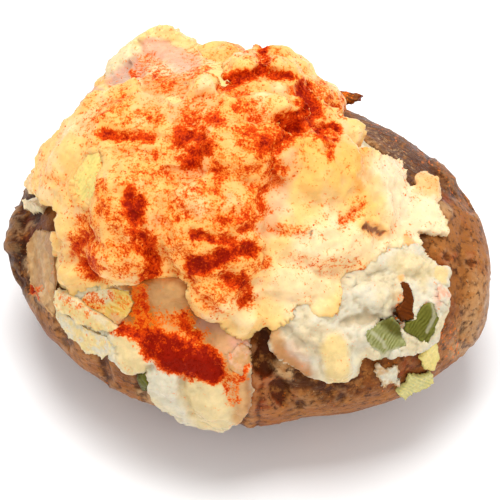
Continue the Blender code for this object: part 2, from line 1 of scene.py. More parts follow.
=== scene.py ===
# %% [markdown]
# # A baked potato, heaped with creamy filling and melted cheese
#
# The real dish is a whole potato, baked in its skin, split open and heaped with mash, leek and ham in a cream
# sauce. Cheese has melted over the heap, and paprika was dusted over that. The solids of the frame already
# have the main forms. This script gives each of them a fine surface, a finish that follows what food looks
# like close up, and the many small grains that no solid should carry.
#
# The first cell brings the solids in. They are never moved or changed. Each one is replaced by a finer mesh
# of the same form.

# %% Bring in the frame
import math

import bmesh
import bpy
import numpy as np
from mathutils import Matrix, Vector, noise
from mathutils.bvhtree import BVHTree
from mathutils.kdtree import KDTree


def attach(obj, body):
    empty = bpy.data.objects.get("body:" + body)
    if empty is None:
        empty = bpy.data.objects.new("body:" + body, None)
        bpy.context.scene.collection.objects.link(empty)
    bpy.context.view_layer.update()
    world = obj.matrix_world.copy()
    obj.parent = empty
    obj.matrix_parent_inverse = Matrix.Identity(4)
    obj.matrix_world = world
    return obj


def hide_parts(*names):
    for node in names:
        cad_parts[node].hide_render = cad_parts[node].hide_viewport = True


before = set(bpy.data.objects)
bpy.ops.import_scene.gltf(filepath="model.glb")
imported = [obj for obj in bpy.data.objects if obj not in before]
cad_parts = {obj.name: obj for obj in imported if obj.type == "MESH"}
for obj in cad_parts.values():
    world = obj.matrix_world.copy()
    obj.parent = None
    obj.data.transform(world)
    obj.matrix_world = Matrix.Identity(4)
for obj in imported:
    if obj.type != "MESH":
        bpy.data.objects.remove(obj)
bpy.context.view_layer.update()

MM = 0.001
print("solids:", len(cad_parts))

# %% [markdown]
# ## Where the eater's eye is
#
# Food is looked at from above and in front. The camera stands there, one metre away, with a long lens, as for
# a picture of food on a table. The same three directions also tell where each spot of the surface lands in the
# picture, and that is used later: paprika, sauce and folds are laid down at named places of the picture, in the
# way that a cook garnishes a plate while looking at it.

# %% Camera
AZIMUTH, ELEVATION = math.radians(10), math.radians(52)
DISTANCE = 1.0
POINTS_PER_MM = 3.87
PICTURE = 500
SENSOR = 36
LOOKED_AT = Vector((0, 0.00019, 0.035))
TO_EYE = Vector((
    math.sin(AZIMUTH) * math.cos(ELEVATION),
    -math.cos(AZIMUTH) * math.cos(ELEVATION),
    math.sin(ELEVATION),
))
RIGHT = Vector((math.cos(AZIMUTH), math.sin(AZIMUTH), 0))
UP = TO_EYE.cross(RIGHT)

lens = bpy.data.cameras.new("camera")
lens.sensor_width = SENSOR
lens.lens = POINTS_PER_MM / MM * DISTANCE * SENSOR / PICTURE
camera = bpy.data.objects.new("camera", lens)
camera.location = LOOKED_AT + TO_EYE * DISTANCE
camera.rotation_mode = "QUATERNION"
camera.rotation_quaternion = TO_EYE.to_track_quat("Z", "Y")
bpy.context.scene.collection.objects.link(camera)
bpy.context.scene.camera = camera
print("lens in mm:", round(lens.lens, 1))

# %% [markdown]
# ## Light and floor
#
# One large soft light from above and behind gives the heap its shape: edges that face it shine, and the
# hollows under the cheese fall into shade. A weaker one in front keeps the shade open, and a white room lights
# the rest. A small sharp lamp would make the moist surfaces glitter, so neither light is small. The floor is
# pale and plain, so that nothing draws the eye from the food.

# %% Lights
KEY = {"place": (-0.05, 0.15, 1.1), "size": 0.6, "power": 10.5}
FRONT = {"place": (0.6, -0.9, 0.8), "size": 0.9, "power": 3.5}
SKY = 0.66


def area_light(name, place, size, power):
    """A square light at a place, turned towards the food."""
    lamp = bpy.data.lights.new(name, "AREA")
    lamp.energy, lamp.size = power, size
    holder = bpy.data.objects.new(name, lamp)
    holder.location = place
    holder.rotation_mode = "QUATERNION"
    holder.rotation_quaternion = (Vector(place) - LOOKED_AT).to_track_quat("Z", "Y")
    bpy.context.scene.collection.objects.link(holder)


area_light("key light", **KEY)
area_light("front light", **FRONT)
world = bpy.data.worlds.new("soft room")
world.use_nodes = True
world.node_tree.nodes["Background"].inputs["Color"].default_value = (1, 1, 1, 1)
world.node_tree.nodes["Background"].inputs["Strength"].default_value = SKY
bpy.context.scene.world = world
bpy.context.scene.view_settings.view_transform = "Standard"

# %% Floor
FLOOR_SIDE = 6.0
FLOOR_PALE, FLOOR_ROUGH = (0.97, 0.97, 0.97, 1), 0.8
floor_mesh = bpy.data.meshes.new("floor")
half = FLOOR_SIDE / 2
floor_corners = [(-half, -half, 0), (half, -half, 0), (half, half, 0), (-half, half, 0)]
floor_mesh.from_pydata(floor_corners, [], [(0, 1, 2, 3)])
floor = bpy.data.objects.new("floor", floor_mesh)
bpy.context.scene.collection.objects.link(floor)
floor_paint = bpy.data.materials.new("floor")
floor_paint.use_nodes = True
floor_shader = floor_paint.node_tree.nodes["Principled BSDF"]
floor_shader.inputs["Base Color"].default_value = FLOOR_PALE
floor_shader.inputs["Roughness"].default_value = FLOOR_ROUGH
floor_mesh.materials.append(floor_paint)
print("floor side in metres:", FLOOR_SIDE)

# %% [markdown]
# ## Helpers for fine surfaces
#
# A solid of a few thousand triangles looks cut with a knife. A voxel remesh turns it into an even net of small
# faces, and smoothing takes the flats out of it. On that net, relief is added by pushing each point along its
# normal, first by soft noise and then by listed strokes. A bump in the material alone would be quicker, but the
# outline would stay smooth. Numpy arrays hold one row for each point, because a net has over a hundred
# thousand of them.

# %% Points of a net
def points_of(mesh):
    """The places of all points, one row each."""
    flat = np.empty(len(mesh.vertices) * 3)
    mesh.vertices.foreach_get("co", flat)
    return flat.reshape(-1, 3)


def normals_of(mesh):
    """The outward direction at each point, one row each."""
    flat = np.empty(len(mesh.vertices) * 3)
    mesh.vertices.foreach_get("normal", flat)
    return flat.reshape(-1, 3)


def push(mesh, height):
    """Moves each point along its normal, by its own height in mm."""
    moved = points_of(mesh) + normals_of(mesh) * height[:, None] * MM
    mesh.vertices.foreach_set("co", moved.ravel())
    mesh.update()


print("points of the potato's solid:", len(points_of(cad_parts["potato"].data)))

# %% Evening out, edges and noise
def soft_step(values, low, high):
    """0 below low, 1 above high, and smooth between them."""
    part = np.clip((values - low) / (high - low), 0, 1)
    return part * part * (3 - 2 * part)


def average(mesh, values, rounds):
    """Values of the points, evened out with their neighbours' a few times over."""
    ends = np.empty(len(mesh.edges) * 2, dtype=np.int64)
    mesh.edges.foreach_get("vertices", ends)
    a, b = ends.reshape(-1, 2).T
    count = np.bincount(a, minlength=len(values)) + np.bincount(b, minlength=len(values))
    for _ in range(rounds):
        total = np.bincount(a, values[b], len(values)) + np.bincount(b, values[a], len(values))
        values = (values + total / np.maximum(count, 1)) / 2
    return values


def roundness(mesh, rounds=6):
    """How far each point stands out of its surroundings in mm: above 0 on edges, below 0 in creases."""
    points, normals = points_of(mesh), normals_of(mesh)
    even = np.column_stack([average(mesh, points[:, axis].copy(), rounds) for axis in range(3)])
    return np.einsum("ij,ij->i", points - even, normals) / MM


def clouds(points, size, octaves=3, seed=0.0):
    """Soft noise from about -1 to 1, with lumps of a size in mm."""
    spots = (points / (size * MM) + seed).tolist()
    return np.array([noise.fractal(spot, 1.0, 2.0, octaves) for spot in spots])


print("a soft step halfway:", soft_step(0.5, 0, 1))

# %% Fine copies
SAME_SPOT = 0.0001
EVENING = 0.5
EDGE_STANDS_OUT = (0.02, 0.14)


def fine_copy(name, node, grain, rounds, swell=0.0, edge=0.0):
    """A fine, smooth, closed mesh with the form of a solid.

    grain is its face size and swell its growth, in mm. edge is what its edges get back of what the rounds of
    smoothing took from them.
    """
    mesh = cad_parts[node].data.copy()
    mesh.materials.clear()
    net = bmesh.new()
    net.from_mesh(mesh)
    bmesh.ops.remove_doubles(net, verts=net.verts, dist=SAME_SPOT * MM)
    net.to_mesh(mesh)
    net.free()
    obj = bpy.data.objects.new(name, mesh)
    bpy.context.scene.collection.objects.link(obj)
    remesh = obj.modifiers.new("even net", "REMESH")
    remesh.mode = "VOXEL"
    remesh.voxel_size = grain * MM
    smooth = obj.modifiers.new("no flats", "SMOOTH")
    smooth.factor = EVENING
    smooth.iterations = rounds
    settled = bpy.context.evaluated_depsgraph_get()
    fine = bpy.data.meshes.new_from_object(obj.evaluated_get(settled))
    obj.modifiers.clear()
    obj.data = fine
    fine.name = name
    fine.shade_smooth()
    push(fine, swell + edge * soft_step(roundness(fine, 4), *EDGE_STANDS_OUT))
    return obj


print("an edge stands out by mm:", EDGE_STANDS_OUT)

# %% [markdown]
# ## Helpers for strokes
#
# A stroke is a path in the picture with a width, all in picture points. Its strength is 1 along the path and
# falls softly to 0 beside it. It can push the surface up or down, or lay a colour on it. The path is looked up
# at places that noise has shifted a little, so no stroke has a straight or drawn edge. Only what faces the eye
# takes strokes. The back gets its pattern from noise alone.

# %% Strokes
def in_picture(points):
    """Where each point lands in the picture: across and down, in picture points."""
    away = points - np.array(LOOKED_AT)
    near = POINTS_PER_MM / MM * DISTANCE / (DISTANCE - away @ np.array(TO_EYE))
    return PICTURE / 2 + away @ np.array(RIGHT) * near, PICTURE / 2 - away @ np.array(UP) * near


def stroke(place, path, width, soft):
    """The strength of a stroke at each place."""
    x, y = place
    nearest = np.full(len(x), 1e9)
    for (x0, y0), (x1, y1) in zip(path, path[1:] or path):
        dx, dy = x1 - x0, y1 - y0
        part = np.clip(((x - x0) * dx + (y - y0) * dy) / max(dx * dx + dy * dy, 1), 0, 1)
        nearest = np.minimum(nearest, np.hypot(x - x0 - part * dx, y - y0 - part * dy))
    return 1 - soft_step(nearest, width / 2, width / 2 + soft)


print("the spot looked at lands at:", [round(float(v[0]), 1) for v in in_picture(np.array([LOOKED_AT]))])

# %% A look at a piece
SHIFT_SIZE = 3.0
TURNS_AWAY = (-0.15, 0.15)


class Look:
    """What the strokes need to know of a mesh: its points, where they land, and how far they face the eye."""

    def __init__(self, mesh, shift=2.0, seed=0.0):
        self.mesh = mesh
        self.points = points_of(mesh)
        x, y = in_picture(self.points)
        self.place = (
            x + shift * clouds(self.points, SHIFT_SIZE, 3, seed + 3.1),
            y + shift * clouds(self.points, SHIFT_SIZE, 3, seed + 7.7),
        )
        self.facing = soft_step(normals_of(mesh) @ np.array(TO_EYE), *TURNS_AWAY)

    def stroke(self, path, width, soft):
        """The strength of a stroke at each point, 0 where the point faces away."""
        return stroke(self.place, path, width, soft) * self.facing


def sculpt(look, strokes):
    """Pushes the surface by each stroke: height in mm, width, soft edge, path."""
    height = np.zeros(len(look.points))
    for rise, width, soft, path in strokes:
        height += rise * look.stroke(path, width, soft)
    push(look.mesh, height)


print("strokes fade out between:", TURNS_AWAY)

# %% [markdown]
# ## Helpers for colour
#
# The broad colours of each piece are painted on its points as an attribute, with the same strokes. The finish
# reads that attribute and adds what is finer than the net: specks, pores and streaks, from noise. Paint on
# points stays on the piece when it is seen from another side, and needs no picture file. Paprika is an
# attribute of its own, because its colour depends on how thick it lies.

# %% Paint
def srgb(red, green, blue):
    """A colour as seen on a screen, 0 to 255, made linear for light to work with."""
    parts = (red, green, blue)
    return tuple(((v / 255 + 0.055) / 1.055) ** 2.4 if v > 10 else v / 255 / 12.92 for v in parts)


def lay(colours, colour, strength):
    """Lays a colour over what is there, as strongly as each point's strength says."""
    return colours + (np.array(colour) - colours) * np.clip(strength, 0, 1)[:, None]


def lay_patches(look, colours, patches):
    """Lays each patch in turn: its colour, strength, width, soft edge and path."""
    for colour, strength, width, soft, path in patches:
        colours = lay(colours, colour, strength * look.stroke(path, width, soft))
    return colours


def lay_clouds(look, colours, kinds):
    """Lays broad uneven colours: colour, strength, size in mm, octaves, seed, where it starts and is full."""
    for colour, strength, size, octaves, seed, low, high in kinds:
        amount = strength * soft_step(clouds(look.points, size, octaves, seed), low, high)
        colours = lay(colours, colour, amount)
    return colours


def dusted_by(look, least, strokes, patchy=1.0, fade=1.0):
    """The strongest of the strokes at each point, and at least what is given. A fade over 1 feathers them."""
    for strength, width, soft, path in strokes:
        least = np.maximum(least, strength * patchy * look.stroke(path, width, fade * soft) ** fade)
    return least


def plain(look, colour):
    """One colour for all points, to start from."""
    return np.tile(np.array(colour, dtype=float), (len(look.points), 1))


print("middle grey in linear light:", round(srgb(128, 128, 128)[0], 3))

# %% Paint and dust as attributes
def store_colour(mesh, colours):
    """Keeps the colours of the points as the attribute that the finish reads."""
    layer = mesh.color_attributes.new("paint", "FLOAT_COLOR", "POINT")
    opaque = np.column_stack([colours, np.ones(len(colours))])
    layer.data.foreach_set("color", opaque.ravel().astype(np.float32))


def store(mesh, name, values):
    """Keeps one number for each point as an attribute."""
    layer = mesh.attributes.new(name, "FLOAT", "POINT")
    layer.data.foreach_set("value", values.astype(np.float32))


print("paint helpers ready")

# %% [markdown]
# ## Helpers for finishes
#
# A finish is a small tree of nodes. Wiring one by hand takes many lines, so each helper below adds one node and
# gives back the socket to go on with. The recipes for skin, cheese and mash then read like recipes. Noise
# takes its size in mm from Object coordinates, so a speck has its true size on each piece.

# %% Nodes
def add(tree, kind, values=None, **settings):
    """A node with its settings. values gives inputs a value, or the socket that feeds them."""
    made = tree.nodes.new(kind)
    for name, value in settings.items():
        setattr(made, name, value)
    for key, value in (values or {}).items():
        if isinstance(value, bpy.types.NodeSocket):
            tree.links.new(value, made.inputs[key])
        else:
            made.inputs[key].default_value = value
    return made


def texture(tree, size, detail=3.0, stretch=(1, 1, 1), roughness=0.55):
    """Noise with spots of a size in mm, which a stretch can draw out along an axis."""
    where = add(tree, "ShaderNodeTexCoord").outputs["Object"]
    turned = add(tree, "ShaderNodeMapping", {"Vector": where, "Scale": stretch}).outputs["Vector"]
    values = {"Vector": turned, "Scale": 1 / (size * MM), "Detail": detail, "Roughness": roughness}
    return add(tree, "ShaderNodeTexNoise", values).outputs["Fac"]


def attribute(tree, name, output):
    """An attribute of the points, read back in the finish."""
    return add(tree, "ShaderNodeAttribute", attribute_name=name).outputs[output]


def calc(tree, operation, a, b):
    """One step of arithmetic with sockets or numbers."""
    return add(tree, "ShaderNodeMath", {0: a, 1: b}, operation=operation).outputs[0]


def ramp(tree, value, low, high, start=0.0, end=1.0):
    """A smooth change from start to end, while the value goes from low to high."""
    values = {"Value": value, "From Min": low, "From Max": high, "To Min": start, "To Max": end}
    return add(tree, "ShaderNodeMapRange", values, interpolation_type="SMOOTHSTEP").outputs[0]


print("node helpers ready")

# %% Mixing and new finishes
FIRST_COLOUR, SECOND_COLOUR, MIXED_COLOUR = 6, 7, 2


def mix(tree, mask, first, second, way="MIX"):
    """The first colour, with the second over it where the mask is 1."""
    first, second = ((*c, 1) if isinstance(c, tuple) else c for c in (first, second))
    values = {0: mask, FIRST_COLOUR: first, SECOND_COLOUR: second}
    return add(tree, "ShaderNodeMix", values, data_type="RGBA", blend_type=way).outputs[MIXED_COLOUR]


def new_finish(name, **sockets):
    """A material, its node tree and its main shader. sockets gives that shader's constants."""
    material = bpy.data.materials.new(name)
    material.use_nodes = True
    shader = material.node_tree.nodes["Principled BSDF"]
    for key, value in sockets.items():
        shader.inputs[key.replace("_", " ")].default_value = value
    return material, material.node_tree, shader


def set_bump(tree, shader, height, distance):
    """Fine relief from a texture, as deep as a distance in mm."""
    bump = add(tree, "ShaderNodeBump", {"Height": height, "Distance": distance * MM, "Strength": 1.0})
    tree.links.new(bump.outputs["Normal"], shader.inputs["Normal"])


print("finish helpers ready")

# %% [markdown]
# ## Paprika and moist food
#
# Paprika lies thick in places and leaves single specks in others. Noise is added to the dusting at each spot,
# and what rises over three thresholds turns orange, red and dark red. A threshold gives crisp specks at the
# thin edge of a dusting, where a plain blend would give a pink haze.
#
# Cheese, mash and vegetables share the rest of their finish. Light goes in and comes out warmer, a fine mottle
# breaks the colour, and the gloss is uneven, and dull where paprika lies. The shine is tinted, because it comes
# back through oil.

# %% Paprika colour
PAPRIKA_ORANGE, PAPRIKA_RED, PAPRIKA_DARK = srgb(234, 112, 8), srgb(204, 58, 0), srgb(142, 16, 0)
CLUMP, CLUMP_SHARE = 1.4, 0.54
SPECK, SPECK_SHARE = 0.5, 0.46
DUST_LIFTS, DUST_REDDENS = 0.44, 0.1
TURNS_ORANGE, TURNS_RED, TURNS_DARK = (0.60, 0.71, 0.0, 0.85), (0.73, 0.83), (0.775, 0.94)


def paprika_over(tree, colour):
    """Powdered paprika over a colour: specks where there is little, and a red film where there is much."""
    dusting = attribute(tree, "paprika", "Fac")
    clumps = calc(tree, "MULTIPLY", texture(tree, CLUMP, 4.0, roughness=0.6), CLUMP_SHARE)
    specks = calc(tree, "MULTIPLY", texture(tree, SPECK, 2.0), SPECK_SHARE)
    lifted = calc(tree, "MULTIPLY", dusting, DUST_LIFTS)
    amount = calc(tree, "ADD", calc(tree, "ADD", clumps, specks), lifted)
    redder = calc(tree, "ADD", amount, calc(tree, "MULTIPLY", dusting, DUST_REDDENS))
    colour = mix(tree, ramp(tree, amount, *TURNS_ORANGE), colour, PAPRIKA_ORANGE)
    colour = mix(tree, ramp(tree, redder, *TURNS_RED), colour, PAPRIKA_RED)
    return mix(tree, ramp(tree, amount, *TURNS_DARK), colour, PAPRIKA_DARK)


print("paprika turns from orange at", TURNS_ORANGE[0], "to dark at", TURNS_DARK[0])

# %% Moist food
WARM_SHINE = (1.0, 0.72, 0.45, 1.0)
MOIST = {
    "Subsurface_Radius": (1.0, 0.5, 0.25),
    "Subsurface_Scale": 1.5 * MM,
    "Specular_IOR_Level": 0.12,
    "Specular_Tint": WARM_SHINE,
}
MOTTLE = (0.3, 0.7, 0.82, 1.0)
GLOSS_SIZE, GLOSS = 4.0, (0.35, 0.65, 0.2, 0.38)
DRY = (0.15, 0.7, 0.0, 0.4)


def moist_food(name, size, bump, depth):
    """Painted colour with mottle and bump of a size in mm. depth is how much light goes in, 0 to 1."""
    material, tree, shader = new_finish(name, **MOIST, Subsurface_Weight=depth)
    mottle = ramp(tree, texture(tree, size, 5.0, roughness=0.65), *MOTTLE)
    colour = mix(tree, 1.0, attribute(tree, "paint", "Color"), mottle, "MULTIPLY")
    tree.links.new(paprika_over(tree, colour), shader.inputs["Base Color"])
    gloss = ramp(tree, texture(tree, GLOSS_SIZE, 2.0), *GLOSS)
    dry = ramp(tree, attribute(tree, "paprika", "Fac"), *DRY)
    tree.links.new(calc(tree, "ADD", gloss, dry), shader.inputs["Roughness"])
    set_bump(tree, shader, texture(tree, size / 2, 4.0), bump)
    return material


print("light goes in by mm:", MOIST["Subsurface_Scale"] / MM)

# %% [markdown]
# ## The potato
#
# A baked potato has a thin leathery skin. It shrinks in the oven, so it wrinkles along the potato, blisters
# here and there, and sinks into small pits where the eyes were. A cloth simulation could wrinkle it, but noise
# that is drawn out along the potato gives the same look in a second. The stretch is what makes wrinkles of
# lumps. Relief comes before paint, because the paint follows the relief.

# %% Potato surface
POTATO_GRAIN = 0.75
LUMPS = ((22, 0.6), (9, 0.2), (3.5, 0.08))
WRINKLE_STRETCH = (0.28, 1.0, 1.0)
WRINKLE_SIZE, WRINKLE_DEPTH = 3.2, 0.3
BLISTER_SIZE, BLISTER_FIELD, BLISTER_HEIGHT = 2.2, 16, 0.3
potato = fine_copy("potato_in_skin", "potato", POTATO_GRAIN, 12)
skin = potato.data
points = points_of(skin)
relief = sum(depth * clouds(points, size, 3, size) for size, depth in LUMPS)
folds = clouds(points * np.array(WRINKLE_STRETCH), WRINKLE_SIZE, 3, 5.0)
field = soft_step(clouds(points, BLISTER_FIELD, 2, 4.0), -0.1, 0.4)
blisters = soft_step(clouds(points, BLISTER_SIZE, 2, 9.0), 0.25, 0.75) * field
calm = soft_step(clouds(points, 18, 2, 13.0), -0.3, 0.3)
push(skin, relief - WRINKLE_DEPTH * calm * np.abs(folds) + BLISTER_HEIGHT * blisters)
print("potato points:", len(points))

# %% [markdown]
# Next come the folds, pits and ridges that have a place: the fold below the opening in front, the hollow
# beside it, the groove at the left end, and the eyes at the right. Each line is a height in mm, a width, a soft
# edge and a path. The potato rests on its foot, so nothing of it may go below the floor.

# %% Folds, pits and ridges of the skin
SKIN_STROKES = [
    (0.9, 3, 7, [(256, 368), (254, 395), (250, 422)]),
    (-2.2, 10, 12, [(268, 330), (270, 350), (264, 365)]),
    (-1.6, 7, 8, [(276, 390), (281, 398)]),
    (-0.9, 14, 14, [(290, 380), (325, 384)]),
    (0.8, 8, 8, [(276, 365), (286, 372)]),
    (-0.7, 2, 5, [(60, 330), (68, 345)]),
    (-1.0, 2, 6, [(97, 352), (103, 364), (108, 380)]),
    (-0.8, 2, 5, [(138, 378), (143, 396)]),
    (-2.0, 12, 10, [(30, 205), (24, 230), (20, 255), (24, 282)]),
    (0.9, 4, 6, [(14, 205), (11, 230), (12, 250)]),
    (0.8, 5, 5, [(10, 247)]),
    (0.8, 5, 7, [(33, 226), (36, 245)]),
    (0.5, 6, 6, [(38, 296), (55, 304)]),
    (-0.8, 3, 5, [(448, 256)]),
    (-0.8, 3, 5, [(471, 262)]),
    (-0.6, 3, 5, [(300, 405)]),
    (-0.6, 3, 5, [(342, 398)]),
    (0.9, 10, 8, [(440, 165), (456, 182)]),
    (-1.0, 8, 8, [(458, 190), (474, 204)]),
    (0.5, 8, 8, [(478, 295), (470, 335)]),
    (0.6, 4, 5, [(441, 204), (448, 213)]),
]
sculpt(Look(skin, 2.0, 1.0), SKIN_STROKES)
settled = points_of(skin)
settled[:, 2] = np.maximum(settled[:, 2], 0)
skin.vertices.foreach_set("co", settled.ravel())
skin.update()
print("folds, pits and ridges:", len(SKIN_STROKES))

# %% [markdown]
# The skin's colour is uneven: tan where it dried, and chalky where starch came out and dried. It is dark brown
# in the folds and nearly black in the deepest ones, which is partly its own colour and partly painted shade.
# Noise lays the broad colours, and patches follow for what has a place, among them the painted shadow that the
# cheese's apron casts on the skin. At the end hollows get painted shade and crests a painted highlight, which
# makes the relief easier to see.

# %% Potato paint
BROWN, TAN, DARK = srgb(128, 68, 24), srgb(170, 108, 52), srgb(62, 26, 8)
GREYISH, BLACKISH = srgb(104, 68, 44), srgb(36, 14, 6)
RUSTY, CHALKY = srgb(140, 42, 8), srgb(202, 160, 112)
SKIN_PATCHES = [
    (CHALKY, 0.4, 10, 8, [(24, 184), (15, 206), (12, 232)]),
    (GREYISH, 0.7, 12, 8, [(22, 186), (14, 210), (11, 235), (16, 262)]),
    # Painted shade, partly the skin's own colour: the dark groove at the left end and its near-black spots.
    (DARK, 0.9, 18, 10, [(34, 205), (27, 232), (23, 262), (27, 290)]),
    (RUSTY, 0.35, 12, 8, [(36, 212), (30, 236)]),
    (BLACKISH, 0.9, 4, 5, [(22, 222)]),
    (BLACKISH, 0.9, 5, 6, [(23, 245), (20, 258)]),
    (BLACKISH, 0.7, 3, 5, [(31, 204), (35, 214)]),
    (CHALKY, 0.6, 4, 5, [(27, 262), (30, 272)]),
    (CHALKY, 0.55, 1, 4, [(22, 232), (34, 222)]),
    (CHALKY, 0.5, 10, 8, [(38, 298), (52, 306)]),
    (CHALKY, 0.6, 3, 4, [(62, 328), (66, 346)]),
    (TAN, 0.7, 12, 12, [(56, 316), (66, 338), (80, 356)]),
    (TAN, 0.4, 14, 14, [(86, 352), (110, 374), (136, 392)]),
    (DARK, 0.7, 2, 4, [(98, 354), (103, 366), (108, 380)]),
    (DARK, 0.6, 2, 4, [(139, 380), (143, 395)]),
    (CHALKY, 0.7, 5, 4, [(143, 392), (152, 402)]),
    (TAN, 0.9, 4, 6, [(257, 366), (255, 395), (250, 422)]),
    # Painted shade, partly the skin's own colour: the dark hollow beside the opening and the fold below it.
    (DARK, 0.95, 14, 10, [(268, 328), (272, 346), (262, 366)]),
    (RUSTY, 0.3, 10, 10, [(268, 334), (266, 356)]),
    (BLACKISH, 0.8, 7, 8, [(276, 390), (281, 398)]),
    (DARK, 0.9, 12, 12, [(284, 376), (326, 382), (350, 376)]),
    (DARK, 0.3, 8, 12, [(290, 410), (330, 404), (372, 394)]),
    (RUSTY, 0.5, 20, 16, [(262, 385), (270, 410)]),
    (CHALKY, 0.8, 7, 5, [(276, 364), (287, 373)]),
    (DARK, 0.8, 5, 5, [(300, 405)]),
    (DARK, 0.8, 5, 5, [(342, 398)]),
    # Painted shadow that the cheese's apron casts on the skin, under its tip and along its edge.
    (DARK, 0.9, 6, 10, [(414, 233), (428, 240)]),
    (DARK, 0.8, 9, 9, [(410, 178), (404, 168), (366, 150)]),
    (RUSTY, 1.0, 5, 4, [(446, 254), (451, 257)]),
    (BLACKISH, 0.5, 2, 3, [(448, 256)]),
    (RUSTY, 1.0, 5, 4, [(470, 256), (473, 266)]),
    (BLACKISH, 0.5, 2, 3, [(471, 262)]),
    (DARK, 0.8, 4, 4, [(462, 283)]),
    (DARK, 0.7, 3, 4, [(456, 248), (459, 250)]),
    (DARK, 0.8, 6, 8, [(456, 192), (474, 205)]),
    (GREYISH, 0.75, 30, 14, [(348, 100), (380, 132), (420, 168)]),
    (DARK, 0.6, 10, 14, [(372, 116), (410, 150), (445, 180)]),
    (CHALKY, 0.7, 4, 4, [(440, 204), (448, 213)]),
    (CHALKY, 0.55, 12, 12, [(480, 285), (474, 318), (462, 350)]),
    (TAN, 0.5, 26, 20, [(472, 215), (478, 250), (470, 285)]),
    (TAN, 0.6, 16, 14, [(446, 226), (440, 244)]),
    (TAN, 0.6, 6, 8, [(260, 418), (320, 412), (380, 400), (440, 374)]),
    (CHALKY, 0.8, 1, 2, [(425, 256), (434, 265)]),
]
SKIN_CLOUDS = [
    (TAN, 0.75, 14, 4, 3.0, -0.1, 0.5),
    (DARK, 0.6, 10, 4, 8.0, 0.1, 0.6),
    (RUSTY, 0.4, 6, 3, 14.0, 0.15, 0.6),
]
SKIN_PAINTED_SHADE, SKIN_PAINTED_HIGHLIGHT = (0.01, 0.08), (0.03, 0.12)
look = Look(skin, 4.0, 2.0)
paint = lay_clouds(look, plain(look, BROWN), SKIN_CLOUDS)
paint = lay_patches(look, paint, SKIN_PATCHES)
# Painted shade in the hollows of the skin and a painted highlight on its crests.
bumps = roundness(skin)
paint = lay(paint, DARK, 0.7 * soft_step(-bumps, *SKIN_PAINTED_SHADE))
paint = lay(paint, CHALKY, 0.22 * soft_step(bumps, *SKIN_PAINTED_HIGHLIGHT))
store_colour(skin, paint)
print("potato painted with", len(SKIN_PATCHES), "patches")

# %% [markdown]
# Two more attributes guide the finish of the skin. A little paprika fell beside the heap. And where the skin
# dried hardest it has a crust of pale scratchy marks, which the finish draws from fine noise. Below 0, the
# paprika attribute keeps the skin quite free of specks.

# %% Dust and crust on the skin
SKIN_CLEAN = -0.12
SKIN_DUST = [
    (0.8, 4, 6, [(36, 290), (50, 298)]),
    (0.6, 6, 8, [(330, 94), (356, 104)]),
    (0.16, 4, 10, [(352, 100), (400, 138), (440, 168)]),
    (0.16, 4, 10, [(440, 165), (470, 210)]),
    (0.2, 14, 14, [(440, 330), (450, 345)]),
]
dust = 0.1 * soft_step(clouds(look.points, 12, 3, 21.0), 0.15, 0.5) + SKIN_CLEAN
store(skin, "paprika", dusted_by(look, dust, SKIN_DUST))
SKIN_CRUST = [
    (0.9, 14, 10, [(362, 132), (384, 150), (404, 160)]),
    (0.7, 16, 10, [(384, 138), (410, 160)]),
    (0.5, 24, 16, [(350, 104), (396, 146), (440, 184)]),
    (0.7, 20, 12, [(478, 285), (474, 318), (462, 345)]),
    (0.6, 8, 8, [(425, 205), (448, 214)]),
    (0.5, 12, 10, [(425, 345), (450, 352)]),
    (0.8, 8, 8, [(276, 366), (288, 374)]),
    (0.5, 10, 10, [(300, 392), (320, 400)]),
    (0.6, 8, 6, [(27, 262), (34, 280)]),
    (0.5, 10, 8, [(38, 298), (60, 310)]),
]
crust = 0.5 * soft_step(clouds(look.points, 14, 3, 71.0), 0.2, 0.6) * (1 - look.facing)
crust = dusted_by(look, crust, SKIN_CRUST)
store(skin, "crust", crust)
print("share of the skin with crust:", round(float((crust > 0.3).mean()), 2))

# %% [markdown]
# The finish of the skin is leathery: a low gloss that comes and goes, dark blotches and pores, pale scratches
# along the potato, and fine wrinkles that are too small for the mesh. Each of them is one noise, cut off by a
# ramp and laid over what is there. The order matters: pores come last, because they are holes in all the rest.

# %% Skin colours
skin_finish, tree, shader = new_finish(
    "baked skin",
    Specular_IOR_Level=0.12,
    Specular_Tint=WARM_SHINE,
    Subsurface_Weight=0.03,
    Subsurface_Scale=1.0 * MM,
    Subsurface_Radius=(1.0, 0.4, 0.2),
)
CRUST_LIFTS = 0.18
colour = attribute(tree, "paint", "Color")
mottle = texture(tree, 3.0, 6.0, roughness=0.65)
colour = mix(tree, ramp(tree, mottle, 0.5, 0.68, 0.0, 0.75), colour, TAN)
blotches = texture(tree, 1.6, 5.0, roughness=0.65)
colour = mix(tree, ramp(tree, blotches, 0.5, 0.66, 0.0, 0.85), colour, DARK)
scratches = texture(tree, 0.7, 4.0, stretch=(0.2, 1.0, 1.0))
colour = mix(tree, ramp(tree, scratches, 0.66, 0.80, 0.0, 0.4), colour, CHALKY)
streaks = texture(tree, 4.0, 5.0, stretch=(0.5, 1.0, 1.0), roughness=0.7)
colour = mix(tree, ramp(tree, streaks, 0.52, 0.7, 0.0, 0.5), colour, DARK)
crusty = calc(tree, "MULTIPLY", attribute(tree, "crust", "Fac"), CRUST_LIFTS)
crusty = calc(tree, "ADD", texture(tree, 1.3, 6.0, roughness=0.75), crusty)
colour = mix(tree, ramp(tree, crusty, 0.67, 0.79, 0.0, 0.7), colour, CHALKY)
pores = texture(tree, 0.8, 1.0)
colour = mix(tree, ramp(tree, pores, 0.74, 0.82, 0.0, 0.55), colour, BLACKISH)
tree.links.new(paprika_over(tree, colour), shader.inputs["Base Color"])
print("nodes in the skin's colour:", len(tree.nodes))

